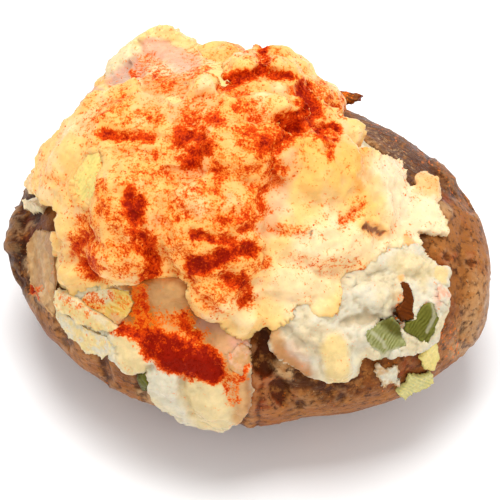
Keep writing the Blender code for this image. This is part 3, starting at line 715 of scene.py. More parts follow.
# %% Skin gloss and wrinkles
SKIN_GLOSS = (0.35, 0.7, 0.3, 0.55)
FINE_WRINKLE, FINE_WRINKLE_DEPTH = 1.4, 0.5
tree.links.new(ramp(tree, mottle, *SKIN_GLOSS), shader.inputs["Roughness"])
wrinkles = texture(tree, FINE_WRINKLE, 6.0, stretch=(0.35, 1.0, 1.0), roughness=0.6)
set_bump(tree, shader, wrinkles, FINE_WRINKLE_DEPTH)
skin.materials.append(skin_finish)
print("finish:", skin_finish.name)

# %% [markdown]
# ## The melted cheese
#
# Cheese that melts and sets again is smooth, with thick rounded lobes where it ran and a thin, finely torn
# edge where it stopped. A fluid simulation would give lobes too, but not these lobes in these places. So the
# solid has the large ones, noise adds the small ones, and finer noise tears the edge, only where the net bends
# sharply. The apron at the right and the lobe at the left are calmer on top and more ragged at their edge.

# %% Cheese surface
CHEESE_GRAIN = 0.53
SETTLED = 0.3
BLOB_SIZE, BLOB_HEIGHT, BLOB_CREASE = 7.5, 1.5, 0.3
CALM_APRON, CALM_LOBE = [(330, 190), (390, 200), (430, 210)], [(60, 160), (80, 120)]
RAGGED_APRON, RAGGED_LOBE = [(355, 150), (410, 185), (445, 235), (400, 245)], [(30, 190), (62, 212)]
cheese = fine_copy("cheese_on_top", "melted_cheese", CHEESE_GRAIN, 8, SETTLED, 0.5)
melt = cheese.data
points = points_of(melt)
lumpy = Look(melt, 8.0, 5.0)
calm = lumpy.stroke(CALM_APRON, 60, 40) + lumpy.stroke(CALM_LOBE, 20, 30)
ragged = lumpy.stroke(RAGGED_APRON, 40, 20) + lumpy.stroke(RAGGED_LOBE, 16, 14)
print("cheese points:", len(points))

# %% Lobes and torn hem of the cheese
CHEESE_LUMPS = ((14, 2, 2.0, 0.5), (4.5, 3, 6.0, 0.35), (2.0, 2, 7.0, 0.12))
CALM_LOSES = 0.75
HEM_BENDS = (0.06, 0.30)
TEAR_SIZE, TEAR, TEAR_WHERE_RAGGED = 1.9, 0.3, 0.6
GRAIN_SIZE, GRAIN_DEPTH = 1.1, 0.10
swells = sum(height * clouds(points, size, octaves, seed) for size, octaves, seed, height in CHEESE_LUMPS)
blobs = BLOB_HEIGHT * (BLOB_CREASE - np.abs(clouds(points, BLOB_SIZE, 2, 27.0)))
blobs *= 1 - CALM_LOSES * np.clip(calm, 0, 1)
hem = soft_step(roundness(melt, 12), *HEM_BENDS)
torn = (TEAR + TEAR_WHERE_RAGGED * np.clip(ragged, 0, 1)) * clouds(points, TEAR_SIZE, 3, 11.0)
grainy = GRAIN_DEPTH * clouds(points, GRAIN_SIZE, 3, 17.0)
push(melt, swells + blobs + hem * torn + grainy)
print("share of hem:", round(float((hem > 0.5).mean()), 2))

# %% [markdown]
# These strokes are the creases and the lips between the lobes. A crease with a lip beside it reads as a fold
# of cheese that came to rest on another. They are placed one by one, because the folds are what one knows
# this heap by.

# %% Creases and lips of the cheese
CHEESE_STROKES = [
    (-1.3, 3, 8, [(264, 48), (264, 62), (268, 72)]),
    (-1.2, 3, 9, [(222, 86), (236, 80), (262, 73), (290, 76)]),
    (0.8, 3, 7, [(226, 95), (240, 85), (262, 81), (280, 84)]),
    (-1.4, 8, 14, [(298, 92), (312, 104), (308, 118), (285, 122)]),
    (0.9, 3, 7, [(284, 129), (300, 123), (318, 124)]),
    (-1.3, 5, 8, [(322, 130), (336, 132)]),
    (1.3, 4, 9, [(284, 176), (286, 156), (292, 143), (306, 137), (322, 142)]),
    (0.8, 14, 14, [(306, 156), (312, 178)]),
    (-1.3, 4, 8, [(277, 178), (278, 152), (286, 136), (302, 130)]),
    (-0.7, 3, 8, [(336, 142), (342, 168), (352, 190)]),
    (0.6, 8, 10, [(358, 175), (366, 205)]),
    (-0.6, 3, 8, [(378, 200), (384, 218), (380, 240)]),
    (-0.7, 14, 14, [(184, 124), (196, 142), (190, 164)]),
    (0.9, 4, 7, [(232, 127), (216, 130), (207, 142), (207, 166)]),
    (-0.8, 4, 8, [(104, 134), (128, 136), (152, 138), (174, 146)]),
    (0.8, 4, 8, [(108, 145), (140, 143), (166, 146)]),
    (0.8, 4, 8, [(110, 150), (108, 172), (104, 195)]),
    (-1.0, 6, 12, [(134, 200), (136, 216)]),
    (-0.9, 4, 10, [(136, 216), (142, 242), (153, 262), (146, 284)]),
    (-1.0, 2, 7, [(194, 234), (210, 238), (230, 241)]),
    (-1.0, 7, 10, [(192, 264), (208, 264), (226, 252), (250, 248)]),
    (-1.1, 4, 8, [(226, 278), (246, 284), (245, 298)]),
    (-0.9, 10, 14, [(284, 152), (276, 190), (266, 228)]),
    (-0.6, 4, 5, [(368, 226), (379, 232)]),
    (0.4, 3, 5, [(363, 222), (374, 219), (386, 232)]),
    (-0.6, 2, 6, [(343, 221), (358, 210)]),
    (0.7, 5, 8, [(420, 178), (432, 184), (434, 194)]),
    (-0.6, 3, 8, [(362, 176), (398, 190), (403, 214)]),
    (0.6, 6, 10, [(204, 82), (214, 82)]),
    (-0.9, 4, 8, [(170, 108), (196, 104), (214, 100)]),
    (1.0, 14, 16, [(112, 262), (140, 268)]),
    (0.7, 8, 12, [(160, 190), (200, 205), (220, 190)]),
    (-0.5, 6, 12, [(160, 225), (185, 215), (215, 215)]),
    (0.6, 10, 14, [(215, 310), (240, 325)]),
    (-0.7, 3, 7, [(204, 300), (232, 328)]),
    (0.6, 8, 14, [(320, 165), (345, 185)]),
    (0.5, 8, 14, [(300, 250), (350, 245)]),
    (-0.5, 3, 8, [(266, 232), (300, 240), (340, 236)]),
]
sculpt(Look(melt, 2.5, 3.0), CHEESE_STROKES)
print("creases and lips:", len(CHEESE_STROKES))

# %% [markdown]
# Paprika was dusted from above, in a few passes of the hand. So it lies in long soft streaks, thick in the
# creases and thin on the ridges, and the apron in front stayed nearly clean. Past that, the creases get some
# painted shade and the ridges a painted highlight. The list holds the streaks.
# Everything between them, and the unseen back, comes from noise. The back gets about as much as the front.

# %% Streaks of paprika on the cheese
CHEESE_DUST = [
    (1.0, 4, 18, [(304, 92), (314, 106), (308, 118), (286, 124)]),
    (0.85, 4, 16, [(242, 132), (262, 144), (284, 142), (300, 128)]),
    (0.6, 10, 22, [(236, 100), (262, 120), (270, 142)]),
    (1.0, 5, 11, [(320, 132), (334, 132)]),
    (0.7, 2, 8, [(330, 138), (330, 156)]),
    (0.9, 4, 18, [(180, 138), (200, 136), (205, 148), (190, 160)]),
    (0.7, 4, 14, [(186, 115), (214, 118), (222, 124)]),
    (0.85, 2, 10, [(104, 134), (122, 137), (148, 138)]),
    (1.0, 4, 19, [(134, 198), (135, 214)]),
    (0.95, 4, 15, [(136, 222), (144, 246), (154, 262), (146, 282)]),
    (0.9, 2, 9, [(194, 234), (212, 238), (230, 240)]),
    (1.0, 4, 15, [(192, 266), (208, 266), (226, 255), (250, 248)]),
    (0.95, 2, 13, [(228, 279), (246, 284), (244, 300)]),
    (0.7, 4, 16, [(254, 205), (246, 225), (222, 222)]),
    (0.75, 8, 16, [(88, 226), (82, 248), (92, 268)]),
    (0.95, 3, 14, [(226, 84), (238, 78), (246, 76)]),
    (0.75, 2, 9, [(225, 82), (262, 74), (296, 78)]),
    (0.85, 2, 10, [(262, 50), (266, 70)]),
    (0.45, 6, 14, [(248, 52), (270, 62)]),
    (0.3, 4, 14, [(290, 70), (304, 84)]),
    (0.5, 3, 12, [(340, 222), (350, 213), (360, 208)]),
    (0.45, 3, 10, [(345, 264), (362, 266)]),
    (0.5, 2, 8, [(268, 230), (304, 232)]),
    (0.55, 5, 12, [(100, 116), (124, 100)]),
    (0.6, 6, 14, [(130, 122), (158, 116)]),
    (0.6, 8, 18, [(210, 148), (222, 172), (214, 184)]),
    (0.6, 5, 14, [(96, 186), (104, 196)]),
    (0.55, 10, 20, [(106, 206), (124, 224)]),
    (0.65, 4, 14, [(278, 168), (258, 190), (262, 208)]),
    (0.5, 8, 20, [(228, 168), (252, 166)]),
    (0.6, 5, 14, [(318, 88), (344, 110)]),
    (0.48, 14, 26, [(104, 256), (136, 262)]),
    (0.50, 16, 30, [(180, 250), (215, 292)]),
    (0.46, 20, 30, [(150, 170), (185, 190), (230, 220)]),
    (0.55, 6, 16, [(170, 222), (186, 206)]),
    (0.6, 4, 12, [(240, 268), (262, 262)]),
    (0.35, 4, 10, [(296, 262), (330, 262)]),
    (0.6, 5, 12, [(262, 152), (284, 172)]),
]
print("streaks of paprika:", len(CHEESE_DUST))

# %% Dusting of the cheese
DUSTED = [(120, 110), (190, 110), (250, 75), (270, 110), (230, 160)]
DUSTED += [(160, 180), (130, 230), (200, 250), (220, 290)]
CLEAN = [(330, 190), (380, 200), (420, 200), (350, 250), (300, 280), (250, 320)]
FADE = 1.5
LEAST, WHERE_DUSTED, ON_THE_BACK, UNEVEN = 0.13, 0.12, 0.20, 0.14
CHEESE_RIDGE_CLEAN_AND_LIT, CHEESE_HOLLOW_DUSTY_AND_SHADED = (0.03, 0.22), (0.03, 0.18)
SPREADS = 16
look = Look(melt, 5.0, 4.0)
spread_out = clouds(look.points, 7, 3, 31.0)
dusted = look.stroke(DUSTED, 60, 60) * (1 - 0.85 * look.stroke(CLEAN, 50, 30))
back = (1 - look.facing) * soft_step(clouds(look.points, 16, 3, 41.0), -0.2, 0.5)
patchy = 0.8 + 0.35 * clouds(look.points, 3.5, 3, 37.0)
dust = LEAST + WHERE_DUSTED * dusted + ON_THE_BACK * back + UNEVEN * spread_out
dust = dusted_by(look, dust, CHEESE_DUST, patchy, FADE)
# Creases take more paprika and oil and ridges less. That is partly where powder and oil settle, and partly
# painted shade in the creases and a painted highlight on the ridges, which makes the relief easier to see.
bumps = average(melt, roundness(melt, 14), 2)
ridges, hollows = soft_step(bumps, *CHEESE_RIDGE_CLEAN_AND_LIT), soft_step(-bumps, *CHEESE_HOLLOW_DUSTY_AND_SHADED)
dust = np.clip(dust - 0.06 * ridges + 0.08 * hollows * dusted, 0, 1)
oil = average(melt, dust.copy(), SPREADS) + (0.14 - 0.04 * ridges + 0.08 * hollows) * dusted
print("cheese under paprika:", round(float((dust > 0.4).mean()), 2))

# %% [markdown]
# The colour of the cheese runs from pale cream, where it is clean, to orange, where its oil took up the
# paprika. The oil spreads further than the powder, so it is the dusting, evened out over the net. Toasted spots
# and single stained places come after the oil, because they lie on top of it.

# %% Cheese colour
CREAM, IVORY, ORANGE_OIL = srgb(248, 202, 126), srgb(248, 224, 182), srgb(250, 156, 46)
PINKISH, YELLOW, TOASTED = srgb(240, 182, 142), srgb(250, 192, 100), srgb(112, 52, 10)
STAIN = srgb(232, 92, 20)
UNDER_THE_OIL = [
    (IVORY, 0.9, 36, 26, [(400, 175), (415, 205), (440, 232)]),
    (IVORY, 0.7, 20, 20, [(390, 250), (425, 255)]),
    (ORANGE_OIL, 0.3, 18, 16, [(298, 146), (322, 152)]),
    (ORANGE_OIL, 0.25, 10, 14, [(312, 182), (334, 176)]),
    (IVORY, 0.6, 34, 30, [(340, 244), (300, 284)]),
    (YELLOW, 0.6, 30, 24, [(300, 165), (330, 160), (356, 196)]),
    (ORANGE_OIL, 0.25, 14, 14, [(338, 140), (346, 160)]),
    (ORANGE_OIL, 0.2, 20, 20, [(60, 170), (84, 186)]),
    (ORANGE_OIL, 0.55, 12, 10, [(422, 182), (432, 186)]),
    (ORANGE_OIL, 0.5, 5, 5, [(356, 178), (360, 188)]),
    (ORANGE_OIL, 0.5, 5, 6, [(362, 150), (364, 168)]),
    (ORANGE_OIL, 0.6, 5, 6, [(405, 240), (412, 248)]),
    (PINKISH, 0.7, 16, 14, [(186, 122), (198, 146), (192, 168)]),
    (PINKISH, 0.6, 14, 14, [(284, 156), (276, 190), (268, 226)]),
    (PINKISH, 0.5, 12, 12, [(150, 100), (176, 110), (206, 108)]),
    (PINKISH, 0.4, 8, 8, [(290, 124), (312, 124)]),
]
OVER_THE_OIL = [
    (ORANGE_OIL, 0.5, 8, 6, [(366, 224), (380, 234)]),
    (TOASTED, 1.0, 4, 2, [(366, 226), (373, 230), (380, 232)]),
    (TOASTED, 0.9, 1, 2, [(315, 232), (315, 235)]),
]
CHEESE_CLOUDS = [(IVORY, 0.5, 9, 3, 51.0, 0.0, 0.5)]
OIL_SHOWS, STAIN_SHOWS = (0.15, 0.64), (0.38, 0.85)
paint = lay_clouds(look, plain(look, CREAM), CHEESE_CLOUDS)
paint = lay_patches(look, paint, UNDER_THE_OIL)
paint = lay(paint, ORANGE_OIL, 0.58 * soft_step(oil, *OIL_SHOWS))
paint = lay_patches(look, paint, OVER_THE_OIL)
# Painted shade: the hollows turn a little pinker, which makes the relief easier to see.
paint = lay(paint, PINKISH, 0.2 * hollows)
paint = lay(paint, STAIN, 0.6 * soft_step(average(melt, dust.copy(), 8), *STAIN_SHOWS))
store_colour(melt, paint)
store(melt, "paprika", dust)
cheese_finish = moist_food("melted cheese", 4.0, 0.16, 0.35)
melt.materials.append(cheese_finish)
print("finish:", cheese_finish.name)

# %% [markdown]
# ## The creamy filling
#
# Mash with cream is softer and rougher than the cheese. It breaks into flaky curds with small steps between
# them, where it is pushed out over the skin, and it runs smooth where the sauce is thin. The curds are noise
# without a sign: its zero lines become the sharp cracks between round lumps. Two lists say where it is flaky
# and where it is smooth, and the unseen sides are flaky too.

# %% Filling surface
FILLING_GRAIN = 0.52
FLAKY = [[(290, 290), (340, 300), (400, 270), (420, 330)], [(165, 390), (190, 400)]]
SMOOTH = [[(150, 300), (190, 340), (215, 365)], [(336, 345), (338, 370)], [(215, 405)]]
CURD_HEIGHT, STEP_HEIGHT, CRUMB_HEIGHT, FLAKES_SINK = 1.1, 0.32, 0.1, 0.35
filling = fine_copy("filling_inside", "creamy_filling", FILLING_GRAIN, 6, SETTLED, 0.5)
cream = filling.data
points = points_of(cream)
curdled = Look(cream, 3.0, 5.0)
flaky = np.maximum(*(curdled.stroke(path, 70, 30) for path in FLAKY)) + (1 - curdled.facing) * 0.8
flaky = flaky * (1 - 0.8 * np.max([curdled.stroke(path, 26, 12) for path in SMOOTH], axis=0))
curds = CURD_HEIGHT * np.abs(clouds(points, 6.5, 4, 12.0))
steps = STEP_HEIGHT * np.abs(clouds(points, 2.4, 3, 18.0))
crumbs = CRUMB_HEIGHT * clouds(points, 1.2, 3, 28.0)
swells = 0.5 * clouds(points, 11, 2, 8.0)
ragged = 0.4 * (soft_step(roundness(cream, 12), *HEM_BENDS) * clouds(points, 3.0, 4, 25.0))
push(cream, swells + flaky * (curds + steps + crumbs - FLAKES_SINK) + ragged)
print("filling points:", len(points), "flaky share:", round(float((flaky > 0.5).mean()), 2))

# %% [markdown]
# In front, a valley holds brown sauce, and a bank of paprika has slid down into it. Beside it the mash stands
# in a few ridges, and at the right it has steps under the hem of the cheese. These have a place, so they are
# strokes: plus is a ridge and minus is a hollow.

# %% Ridges and hollows of the filling
FILLING_STROKES = [
    (0.7, 12, 10, [(352, 288), (385, 296)]),
    (0.7, 5, 8, [(346, 284), (360, 268), (385, 259), (420, 249)]),
    (-1.0, 2, 6, [(344, 322), (368, 318), (394, 323)]),
    (-1.2, 4, 8, [(283, 326), (300, 344), (316, 350)]),
    (1.2, 16, 9, [(335, 345), (337, 366)]),
    (-0.4, 2, 5, [(356, 302), (366, 312)]),
    (-0.9, 10, 10, [(402, 312), (396, 325)]),
    (-1.5, 16, 14, [(150, 300), (180, 320), (210, 330)]),
    (0.9, 12, 10, [(160, 300), (176, 292)]),
    (-0.9, 3, 7, [(205, 345), (215, 365), (222, 380)]),
    (0.8, 14, 10, [(122, 340), (132, 365)]),
    (-0.8, 3, 6, [(148, 345), (150, 368)]),
    (0.7, 16, 14, [(200, 395), (215, 412)]),
    (-0.7, 2, 5, [(182, 378), (184, 396), (192, 412)]),
    (-0.7, 3, 6, [(228, 380), (232, 415)]),
    (0.9, 12, 8, [(70, 268), (95, 278)]),
    (-0.8, 3, 6, [(72, 262), (88, 262)]),
    (-0.8, 3, 6, [(62, 292), (92, 306), (118, 322)]),
]
sculpt(Look(cream, 2.5, 6.0), FILLING_STROKES)
print("ridges and hollows:", len(FILLING_STROKES))

# %% [markdown]
# Clean mash is nearly white and buttery where it is thick, and its cracks and creases get painted shade. The
# patches add what is mixed in or runs over it: brown and tan sauce in the valley, pink ham that shows through,
# and toasted spots. The brown below the cheese's left bulge and beside its tongue is partly sauce and partly
# painted shadow.

# %% Colours in the filling
CURD_WHITE, CURD_SHADE, BUTTER = srgb(220, 210, 184), srgb(190, 170, 136), srgb(230, 200, 132)
SAUCE_AND_SHADE_BROWN, SAUCE_TAN, HAM_PINK = srgb(150, 78, 24), srgb(208, 156, 98), srgb(224, 166, 140)
FILLING_PATCHES = [
    (CURD_SHADE, 0.6, 8, 10, [(284, 322), (300, 346), (318, 352)]),
    (SAUCE_TAN, 0.9, 8, 8, [(272, 332), (284, 360), (304, 374)]),
    (SAUCE_AND_SHADE_BROWN, 0.45, 5, 9, [(280, 350), (296, 368), (310, 374)]),
    (HAM_PINK, 0.3, 7, 8, [(292, 350), (304, 362)]),
    (CURD_SHADE, 0.7, 3, 7, [(344, 322), (368, 318), (394, 323)]),
    (CURD_SHADE, 0.6, 3, 6, [(300, 340), (318, 330), (330, 332)]),
    (BUTTER, 0.85, 18, 8, [(334, 348), (338, 372)]),
    (BUTTER, 0.5, 14, 10, [(400, 262), (425, 268)]),
    (BUTTER, 0.8, 12, 3, [(441, 275)]),
    (HAM_PINK, 0.7, 6, 4, [(441, 288), (439, 302)]),
    (TOASTED, 0.9, 12, 7, [(400, 312), (394, 326)]),
    (ORANGE_OIL, 0.7, 4, 4, [(400, 279)]),
    (SAUCE_TAN, 0.5, 3, 5, [(396, 296), (404, 300)]),
    (SAUCE_TAN, 1.0, 60, 14, [(145, 300), (190, 316), (222, 340)]),
    # Painted shadow over brown sauce, below the lower edge of the cheese's left bulge and beside its tongue.
    (SAUCE_AND_SHADE_BROWN, 0.9, 16, 12, [(142, 284), (136, 305), (146, 322)]),
    (SAUCE_AND_SHADE_BROWN, 0.9, 10, 12, [(150, 284), (184, 290), (200, 318), (208, 340)]),
    (SAUCE_TAN, 0.8, 20, 10, [(160, 296), (172, 306)]),
    (SAUCE_TAN, 0.9, 16, 8, [(172, 295), (165, 310)]),
    (HAM_PINK, 0.5, 26, 12, [(215, 325), (228, 345)]),
    (HAM_PINK, 0.85, 16, 8, [(226, 352), (242, 352)]),
    (SAUCE_TAN, 0.7, 20, 10, [(214, 345), (222, 370)]),
    (CURD_WHITE, 0.8, 20, 8, [(160, 380), (180, 402)]),
    (CURD_SHADE, 0.4, 3, 6, [(182, 378), (184, 396), (192, 412)]),
    (BUTTER, 0.65, 34, 14, [(205, 392), (212, 410)]),
    (SAUCE_TAN, 0.9, 10, 9, [(240, 378), (243, 420)]),
    (SAUCE_AND_SHADE_BROWN, 0.5, 3, 6, [(249, 376), (251, 424)]),
    (BUTTER, 0.7, 20, 8, [(125, 340), (134, 366)]),
    (BUTTER, 0.6, 14, 10, [(65, 275), (95, 285)]),
    (HAM_PINK, 0.6, 7, 5, [(56, 250), (74, 248)]),
]
CREAM_CLOUDS = [(BUTTER, 0.35, 8, 3, 61.0, -0.05, 0.5)]
CRACKS = (0.02, 0.16)
look = Look(cream, 3.5, 7.0)
paint = lay_clouds(look, plain(look, CURD_WHITE), CREAM_CLOUDS)
# Painted shade in the cracks of the mash.
paint = lay(paint, CURD_SHADE, 0.7 * soft_step(-roundness(cream, 8), *CRACKS))
paint = lay_patches(look, paint, FILLING_PATCHES)
print("filling painted with", len(FILLING_PATCHES), "patches")

# %% Dusting of the filling
FILLING_DUST = [
    (1.1, 15, 18, [(156, 344), (172, 350), (192, 358), (206, 364)]),
    (1.4, 9, 16, [(168, 358), (188, 363), (212, 370)]),
    (0.8, 5, 12, [(120, 328), (136, 332), (156, 338)]),
    (0.6, 4, 16, [(140, 292), (142, 322)]),
    (0.7, 4, 16, [(182, 318), (196, 338)]),
    (0.42, 14, 18, [(146, 320), (176, 328), (196, 340)]),
    (0.6, 6, 8, [(222, 372), (238, 378), (244, 368)]),
    (0.5, 7, 8, [(228, 382), (234, 398)]),
    (0.5, 14, 10, [(60, 262), (85, 262), (78, 275)]),
    (0.5, 10, 8, [(70, 215), (62, 240)]),
    (0.3, 5, 5, [(402, 296), (398, 318)]),
]
dust = 0.02 + 0.08 * clouds(look.points, 7, 3, 33.0)
patchy = 0.92 + 0.3 * clouds(look.points, 2.5, 3, 43.0)
dust = dusted_by(look, dust, FILLING_DUST, patchy)
paint = lay(paint, ORANGE_OIL, 0.7 * soft_step(average(cream, dust.copy(), 12), 0.2, 0.8))
store_colour(cream, paint)
store(cream, "paprika", dust)
filling_finish = moist_food("creamy mash", 3.0, 0.22, 0.3)
cream.materials.append(filling_finish)
print("finish:", filling_finish.name)

# %% [markdown]
# ## Slices and bits
#
# Thick slices of potato stand at the back and at the left. Leek, onion and ham show where the filling broke
# open. They are all cooked soft and cut by hand, so each is a fine copy of its solid with a little roughness
# and a torn edge. Leek has fine parallel ribs. Its relief and its colour both come from one wave across the
# piece, so that the pale lines lie on the ridges.

# %% Helpers for bits
BEDDED = 0.1
TORN_EDGE, EDGE_ROUGHER = (0.04, 0.2), 3
RIB_WANDER, RIB_SHIVER = (0.7, 5, 3, 2.0), (0.2, 1.2, 2, 5.0)


def bit(name, node, grain, rounds, rough, shift=2.0, seed=0.0):
    """A fine copy with a lightly ragged surface."""
    obj = fine_copy(name, node, grain, rounds, BEDDED, 0.45)
    spots = points_of(obj.data)
    torn = EDGE_ROUGHER * rough * soft_step(roundness(obj.data, 10), *TORN_EDGE)
    push(obj.data, rough * clouds(spots, 2.5, 4, seed) + torn * clouds(spots, 1.5, 3, seed + 5))
    return obj, Look(obj.data, shift, seed)


def ribs(look, pitch, turn):
    """A wave from 0 to 1 across the picture, with a pitch in mm, turned by an angle from upright."""
    angle = math.radians(turn)
    across = look.points @ np.array(RIGHT) * math.cos(angle) + look.points @ np.array(UP) * math.sin(angle)
    bend = sum(share * clouds(look.points, *kind) for share, *kind in (RIB_WANDER, RIB_SHIVER))
    strong = 0.25 + 0.75 * soft_step(clouds(look.points, 2.5, 3, 9.0), -0.4, 0.5)
    return 0.5 + 0.5 * strong * np.sin(2 * math.pi * (across / (pitch * MM) + bend))


print("helpers for bits ready")

# %% [markdown]
# The slice behind the heap is the largest of them. It has a raised rim of firm flesh round a softer, sunken
# middle, and the middle took on a pink tinge from the ham and paprika.

# %% Slice behind the heap
FLESH_YELLOW, FLESH_PALE, FLESH_PINK = srgb(238, 208, 138), srgb(234, 214, 170), srgb(232, 174, 144)
MAUVE = srgb(206, 160, 140)
SLICE_STROKES = [
    (-0.9, 10, 12, [(120, 80), (150, 66), (185, 62)]),
    (0.6, 8, 8, [(76, 110), (104, 76), (142, 42), (166, 34)]),
    (-1.0, 4, 6, [(138, 46), (140, 68)]),
    (-0.8, 10, 8, [(150, 88), (190, 88)]),
]
SLICE_PATCHES = [
    (FLESH_PALE, 0.9, 22, 12, [(120, 66), (150, 56), (180, 74)]),
    (MAUVE, 0.9, 12, 7, [(116, 82), (128, 72), (138, 64)]),
    (MAUVE, 0.9, 8, 6, [(84, 106), (96, 94)]),
    (FLESH_PINK, 0.9, 12, 8, [(150, 46), (175, 54), (190, 62)]),
    (SAUCE_TAN, 0.8, 14, 8, [(150, 86), (175, 84), (196, 88)]),
    (ORANGE_OIL, 0.4, 6, 6, [(96, 84), (104, 80)]),
]
SLICE_DUST = [
    (0.36, 22, 10, [(150, 66), (160, 80), (190, 84)]),
    (0.48, 10, 8, [(160, 76), (168, 84)]),
    (0.42, 10, 8, [(196, 74), (204, 72)]),
    (0.6, 5, 4, [(132, 71)]),
    (0.3, 10, 10, [(190, 56), (210, 62)]),
]
back_slice, look = bit("slice_behind", "back_slice", 0.5, 10, 0.35, 4.0, 11.0)
sculpt(look, SLICE_STROKES)
paint = lay_patches(look, plain(look, FLESH_YELLOW), SLICE_PATCHES)
dust = dusted_by(look, np.full(len(look.points), 0.12), SLICE_DUST)
paint = lay(paint, ORANGE_OIL, 0.6 * soft_step(average(back_slice.data, dust.copy(), 10), 0.2, 0.7))
store_colour(back_slice.data, paint)
store(back_slice.data, "paprika", dust)
flesh_finish = moist_food("potato flesh", 3.0, 0.10, 0.35)
back_slice.data.materials.append(flesh_finish)
print("back slice points:", len(look.points))

# %% [markdown]
# The sixteen small pieces differ in few things, so one table holds them and one loop makes them. A row of the
# table is: solid, slot, colour, second colour, colour of the edge, pitch of the ribs in mm, their turn in
# degrees, their depth in mm, and how much paprika lies on the piece. A pitch of 0 gives a mottle without ribs.
# The edge of a cut piece differs from its middle, because it dried or took up sauce.

# %% Table of small bits
ONION_GOLD, ONION_PALE = srgb(230, 176, 66), srgb(240, 212, 128)
LEEK_DARK, LEEK_MID = srgb(78, 74, 16), srgb(116, 116, 48)
LEEK_PALE, LEEK_CREAM = srgb(172, 172, 118), srgb(222, 206, 124)
SAUCE_SKIN, CHARRED = srgb(194, 146, 96), srgb(74, 28, 4)
STRIP_GOLD, STRIP_GREEN, FLAP_PALE = srgb(240, 214, 130), srgb(222, 204, 112), srgb(212, 168, 118)
HAM_TAN = srgb(222, 174, 140)
FLESH, PALE = "potato_flesh", "pale_leek"
SMALL_BITS = {
    "onion slice": ("onion_slice", "soft_onion", ONION_GOLD, ONION_PALE, CREAM, 1.3, 60, 0.10, 0.14),
    "onion strip": ("onion_strip", "soft_onion", STRIP_GOLD, STRIP_GREEN, CREAM, 0.9, -35, 0.12, 0.16),
    "upper white slice": ("white_slice_upper", FLESH, FLESH_PALE, FLESH_YELLOW, FLESH_PALE, 0, 0, 0, 0.10),
    "lower white slice": ("white_slice_lower", FLESH, CURD_WHITE, FLESH_YELLOW, FLESH_PALE, 0, 0, 0, 0.05),
    "mash finger": ("mash_finger", FLESH, IVORY, FLESH_PALE, FLESH_PALE, 0, 0, 0, 0.05),
    "mash crumb": ("mash_crumb", FLESH, CURD_WHITE, CHALKY, CHALKY, 0, 0, 0, -0.1),
    "dark leek": ("leek_dark", "green_leek", LEEK_DARK, LEEK_MID, LEEK_MID, 0.8, -35, 0.16, -0.1),
    "light leek": ("leek_light", "green_leek", LEEK_MID, LEEK_PALE, LEEK_PALE, 0.8, -35, 0.16, -0.1),
    "front leek": ("leek_front", "green_leek", LEEK_DARK, LEEK_MID, LEEK_DARK, 0.8, 30, 0.12, -0.1),
    "upper pale leek": ("leek_pale_upper", PALE, LEEK_CREAM, ONION_PALE, LEEK_CREAM, 0.9, 20, 0.12, -0.1),
    "lower pale leek": ("leek_pale_lower", PALE, LEEK_CREAM, LEEK_PALE, LEEK_CREAM, 0.9, 60, 0.12, -0.1),
    "front ham": ("ham_front", "cooked_ham", HAM_TAN, SAUCE_TAN, SAUCE_TAN, 0, 0, 0, 0.1),
    "right ham": ("ham_right", "cooked_ham", FLESH_PINK, CURD_WHITE, CURD_WHITE, 0, 0, 0, 0),
    "browned strip": ("browned_strip", "toasted_edge", CHARRED, TOASTED, TOASTED, 1.0, 70, 0.12, -0.1),
    "sauce flap": ("sauce_flap", "thin_sauce", SAUCE_SKIN, FLAP_PALE, SAUCE_SKIN, 0, 0, 0, -0.02),
    "skin flake": ("skin_flake", "baked_skin", SAUCE_AND_SHADE_BROWN, DARK, RUSTY, 1.2, 80, 0.15, 0.0),
}
ROUGHNESS_OF_BITS, ROUGHER = 0.16, {"mash crumb": 0.45, "mash finger": 0.25}
SUNK = {"sauce flap": 0.7, "mash crumb": 0.2, "lower white slice": 0.2, "mash finger": 0.4, "onion slice": 0.2}
print("small bits in the table:", len(SMALL_BITS))

# %% Patches and dust on small bits
BIT_PATCHES = {
    "sauce flap": [
        (BROWN, 0.35, 6, 10, [(50, 236), (54, 262), (52, 290)]),
        (BROWN, 0.3, 4, 8, [(34, 262), (38, 282), (44, 304)]),
        (CHALKY, 0.6, 1, 3, [(30, 232), (28, 250), (34, 280)]),
    ],
    "onion slice": [
        (FLESH_PALE, 0.9, 10, 8, [(86, 290), (104, 296)]),
        (HAM_PINK, 0.5, 5, 5, [(114, 318), (124, 326)]),
    ],
    "light leek": [
        (CURD_WHITE, 0.6, 2, 4, [(368, 350), (384, 356), (400, 350)]),
        (CURD_WHITE, 0.4, 1, 3, [(372, 332), (386, 346)]),
        (LEEK_DARK, 0.9, 5, 6, [(386, 322), (400, 332)]),
    ],
    "dark leek": [(CURD_WHITE, 0.35, 1, 2, [(432, 302), (434, 318), (428, 332)])],
    "upper white slice": [(BUTTER, 0.8, 5, 5, [(66, 306), (84, 318), (100, 330)])],
}
BIT_DUST = {
    "sauce flap": [(0.5, 3, 7, [(36, 290), (50, 298)]), (0.15, 7, 8, [(40, 260), (50, 272)])],
    "onion slice": [(0.4, 8, 10, [(84, 292), (96, 304)]), (0.32, 6, 8, [(110, 296), (126, 304)])],
    "upper white slice": [(0.3, 5, 8, [(60, 296), (90, 314)])],
    "skin flake": [(0.3, 6, 8, [(330, 94), (350, 100)])],
}
print("patches and dust:", sum(len(rows) for table in (BIT_PATCHES, BIT_DUST) for rows in table.values()))

# %% [markdown]
# To find the edge of a piece, the picture round its middle is cut into sectors, and the farthest point of each
# sector is the rim there. That works for any roundish outline, and needs no list of edge points.

# %% Making the small bits
BIT_GRAIN, BIT_ROUNDS = 0.28, 3
SECTORS = 24
FRAYS, EDGE_STARTS = 0.35, (0.72, 1.0)


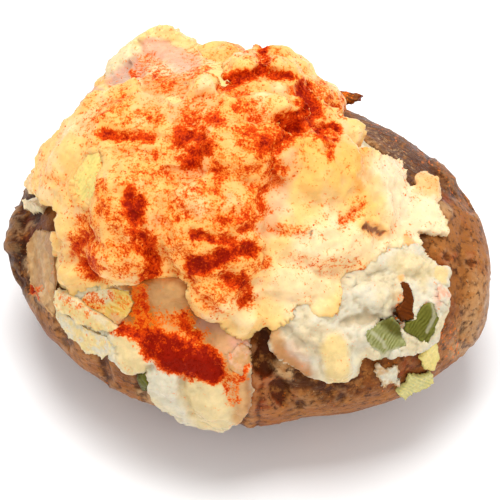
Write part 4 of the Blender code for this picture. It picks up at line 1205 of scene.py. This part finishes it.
def outwards(look):
    """How far each point lies from the middle of its piece in the picture: 0 in the middle, 1 at the edge."""
    x, y = look.place
    angle = np.arctan2(y - y.mean(), x - x.mean())
    reach = np.hypot(x - x.mean(), y - y.mean())
    sector = ((angle + math.pi) / (2 * math.pi) * SECTORS).astype(int) % SECTORS
    rim = np.array([reach[sector == s].max() if (sector == s).any() else reach.max() for s in range(SECTORS)])
    return reach / rim[sector]


def make_bit(number, name):
    """One small piece of the table, with its relief, paint and dusting."""
    node, _, colour, second, edge, pitch, turn, depth, dusting = SMALL_BITS[name]
    rough = ROUGHER.get(name, ROUGHNESS_OF_BITS)
    piece, look = bit(name.replace(" ", "_"), node, BIT_GRAIN, BIT_ROUNDS, rough, 2.0, float(number))
    wave = ribs(look, pitch, turn) if pitch else soft_step(clouds(look.points, 2.2, 4, 8.0), -0.4, 0.4)
    push(look.mesh, depth * (wave - 0.5) - SUNK.get(name, 0))
    paint = lay(plain(look, colour), second, wave * 0.9)
    frayed = outwards(look) + FRAYS * clouds(look.points, 1.6, 4, 6.0)
    paint = lay(paint, edge, 0.85 * soft_step(frayed, *EDGE_STARTS))
    paint = lay_patches(look, paint, BIT_PATCHES.get(name, ()))
    dust = dusting + 0.1 * clouds(look.points, 3, 2, 4.0)
    store_colour(look.mesh, paint)
    store(look.mesh, "paprika", dusted_by(look, dust, BIT_DUST.get(name, ())))
    look.mesh.materials.append(bits_finish)
    return piece


bits_finish = moist_food("moist vegetables", 1.2, 0.06, 0.2)
bits = {name: make_bit(number, name) for number, name in enumerate(SMALL_BITS)}
print("small bits:", len(bits))

# %% [markdown]
# ## Closing the seams
#
# The solids keep a gap of a third of a millimetre, and soft food has none: it wells up against what is pressed
# into it. So every large piece swells a little where another piece is near, and closes round it.

# %% Helpers for seams
SEAM_CLOSED, SEAM_REACH, SEAM_SWELL = 0.5, 1.5, 0.5


def nearness(points, others):
    """1 where one of the others lies at a point, falling to 0 at the reach."""
    tree = KDTree(len(others))
    for number, spot in enumerate(others.tolist()):
        tree.insert(spot, number)
    tree.balance()
    gap = np.array([tree.find(spot)[2] for spot in points.tolist()]) / MM
    return 1 - soft_step(gap, SEAM_CLOSED, SEAM_REACH)


def covered(obj, cover, reach):
    """1 where a cover lies over a point within a reach in mm, else 0."""
    faces = [tuple(face.vertices) for face in cover.data.polygons]
    over = BVHTree.FromPolygons(points_of(cover.data).tolist(), faces)
    lines = zip(points_of(obj.data).tolist(), normals_of(obj.data).tolist())
    return np.array([over.ray_cast(start, way, reach * MM)[0] is not None for start, way in lines], dtype=float)


print("seams close up to", SEAM_CLOSED, "mm and fade out at", SEAM_REACH)

# %% [markdown]
# First the filling goes down where the cheese hides it, so that no lump of it pokes through the thin hem. Then
# the cheese closes round everything, the filling round the slice and the bits, and the slice round the bits.

# %% Closing the seams
HEM_REACH, HIDDEN_SINKS, WELL_INSIDE = 6, 1.2, (0.6, 1.0)
hidden = soft_step(average(filling.data, covered(filling, cheese, HEM_REACH), 8), *WELL_INSIDE)
push(filling.data, -HIDDEN_SINKS * hidden)
small_points = np.concatenate([points_of(obj.data) for obj in bits.values()])
for obj, others in ((cheese, (filling, back_slice)), (filling, (back_slice,)), (back_slice, ())):
    neighbours = np.concatenate([small_points, *(points_of(other.data) for other in others)])
    welling = nearness(points_of(obj.data), neighbours)
    push(obj.data, SEAM_SWELL * welling)
    print(obj.name, "share that wells up:", round(float((welling > 0.5).mean()), 2))

# %% [markdown]
# ## Paprika grains
#
# Close up, ground paprika is thousands of tiny flakes. A small Geometry Nodes tree spreads them: it throws
# points on the surface, more where the paprika attribute is high, and puts a small grain on each one. Nodes
# suit this better than a loop, because they follow the surface wherever it goes. The density goes with the
# square of the attribute, so that grains gather in the streaks.

# %% Tree of the grains
SEED_OF_GRAINS = 7
FULL_TURN = 6.28


def grain_tree(material):
    """Points on the faces by the paprika attribute, a grain on each, made real at the end."""
    tree = bpy.data.node_groups.new("grains", "GeometryNodeTree")
    face = tree.interface
    face.new_socket("Geometry", in_out="INPUT", socket_type="NodeSocketGeometry")
    for name in ("Most per square metre", "Smallest", "Largest"):
        face.new_socket(name, in_out="INPUT", socket_type="NodeSocketFloat")
    face.new_socket("Geometry", in_out="OUTPUT", socket_type="NodeSocketGeometry")
    given = add(tree, "NodeGroupInput").outputs
    dusting = add(tree, "GeometryNodeInputNamedAttribute", {"Name": "paprika"}, data_type="FLOAT").outputs[0]
    squared = calc(tree, "MULTIPLY", dusting, dusting)
    density = calc(tree, "MULTIPLY", squared, given["Most per square metre"])
    spread = add(tree, "GeometryNodeDistributePointsOnFaces", {
        "Mesh": given[0], "Density": density, "Seed": SEED_OF_GRAINS,
    })
    ball = add(tree, "GeometryNodeMeshIcoSphere", {"Radius": 1.0, "Subdivisions": 1}).outputs["Mesh"]
    turn = add(tree, "FunctionNodeRandomValue", {0: (0, 0, 0), 1: (FULL_TURN,) * 3}, data_type="FLOAT_VECTOR")
    size = add(tree, "FunctionNodeRandomValue", {2: given["Smallest"], 3: given["Largest"]}, data_type="FLOAT")
    placed = add(tree, "GeometryNodeInstanceOnPoints", {
        "Points": spread.outputs["Points"], "Instance": ball,
        "Rotation": turn.outputs[0], "Scale": size.outputs[1],
    })
    real = add(tree, "GeometryNodeRealizeInstances", {0: placed.outputs[0]}).outputs[0]
    finished = add(tree, "GeometryNodeSetMaterial", {"Geometry": real, "Material": material}).outputs[0]
    tree.links.new(finished, add(tree, "NodeGroupOutput").inputs[0])
    return tree


print("tree of the grains ready, seed", SEED_OF_GRAINS)

# %% [markdown]
# The tree runs on a copy of the carrier, and only its result is kept. So each set of grains ends as a plain
# mesh that no longer depends on anything. The shade of a grain goes from orange to dark red with the dusting
# it lies in, as the layer of colour under it does.

# %% Spreading the grains
def spread_grains(name, carrier, tree, most, smallest, largest):
    """The grains on a piece as a mesh. Given are the most per square metre and two radii in mm."""
    obj = bpy.data.objects.new(name, carrier.data.copy())
    bpy.context.scene.collection.objects.link(obj)
    thrown = obj.modifiers.new("grains", "NODES")
    thrown.node_group = tree
    sockets = [s.identifier for s in tree.interface.items_tree if s.in_out == "INPUT" and s.name != "Geometry"]
    for socket, value in zip(sockets, (most, smallest * MM, largest * MM)):
        thrown[socket] = value
    settled = bpy.context.evaluated_depsgraph_get()
    mesh = bpy.data.meshes.new_from_object(obj.evaluated_get(settled))
    obj.modifiers.clear()
    obj.data = mesh
    print(name, "triangles:", len(mesh.polygons))
    return obj


RIPENS, DARKENS = (0.45, 0.9), (1.0, 1.35)
POWDER = {"Roughness": 0.9, "Specular_IOR_Level": 0.1, "Specular_Tint": WARM_SHINE}
grain_finish, tree, shader = new_finish("paprika grain", **POWDER)
shade = calc(tree, "ADD", texture(tree, 1.2, 2.0), attribute(tree, "paprika", "Fac"))
ripe = mix(tree, ramp(tree, shade, *RIPENS), PAPRIKA_ORANGE, PAPRIKA_RED)
tree.links.new(mix(tree, ramp(tree, shade, *DARKENS), ripe, PAPRIKA_DARK), shader.inputs["Base Color"])
grains = grain_tree(grain_finish)
DENSE, DENSER = 1.5e6, 1.6e6
FINEST, COARSE, COARSEST = 0.08, 0.24, 0.26
dust_on_cheese = spread_grains("paprika_on_cheese", cheese, grains, DENSE, FINEST, COARSEST)
dust_on_filling = spread_grains("paprika_on_filling", filling, grains, DENSE, FINEST, COARSE)
dust_on_slice = spread_grains("paprika_on_slice", back_slice, grains, DENSER, FINEST, COARSE)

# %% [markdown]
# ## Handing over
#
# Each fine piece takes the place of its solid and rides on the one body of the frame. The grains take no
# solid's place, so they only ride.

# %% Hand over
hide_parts("potato")
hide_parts("melted_cheese")
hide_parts("creamy_filling")
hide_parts("back_slice")
for name, (node, slot, *_) in SMALL_BITS.items():
    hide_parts(node)
large = (potato, cheese, filling, back_slice)
dustings = (dust_on_cheese, dust_on_filling, dust_on_slice)
for piece in (*large, *dustings, *bits.values()):
    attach(piece, "root")
print("pieces handed over:", len(large) + len(dustings) + len(bits))
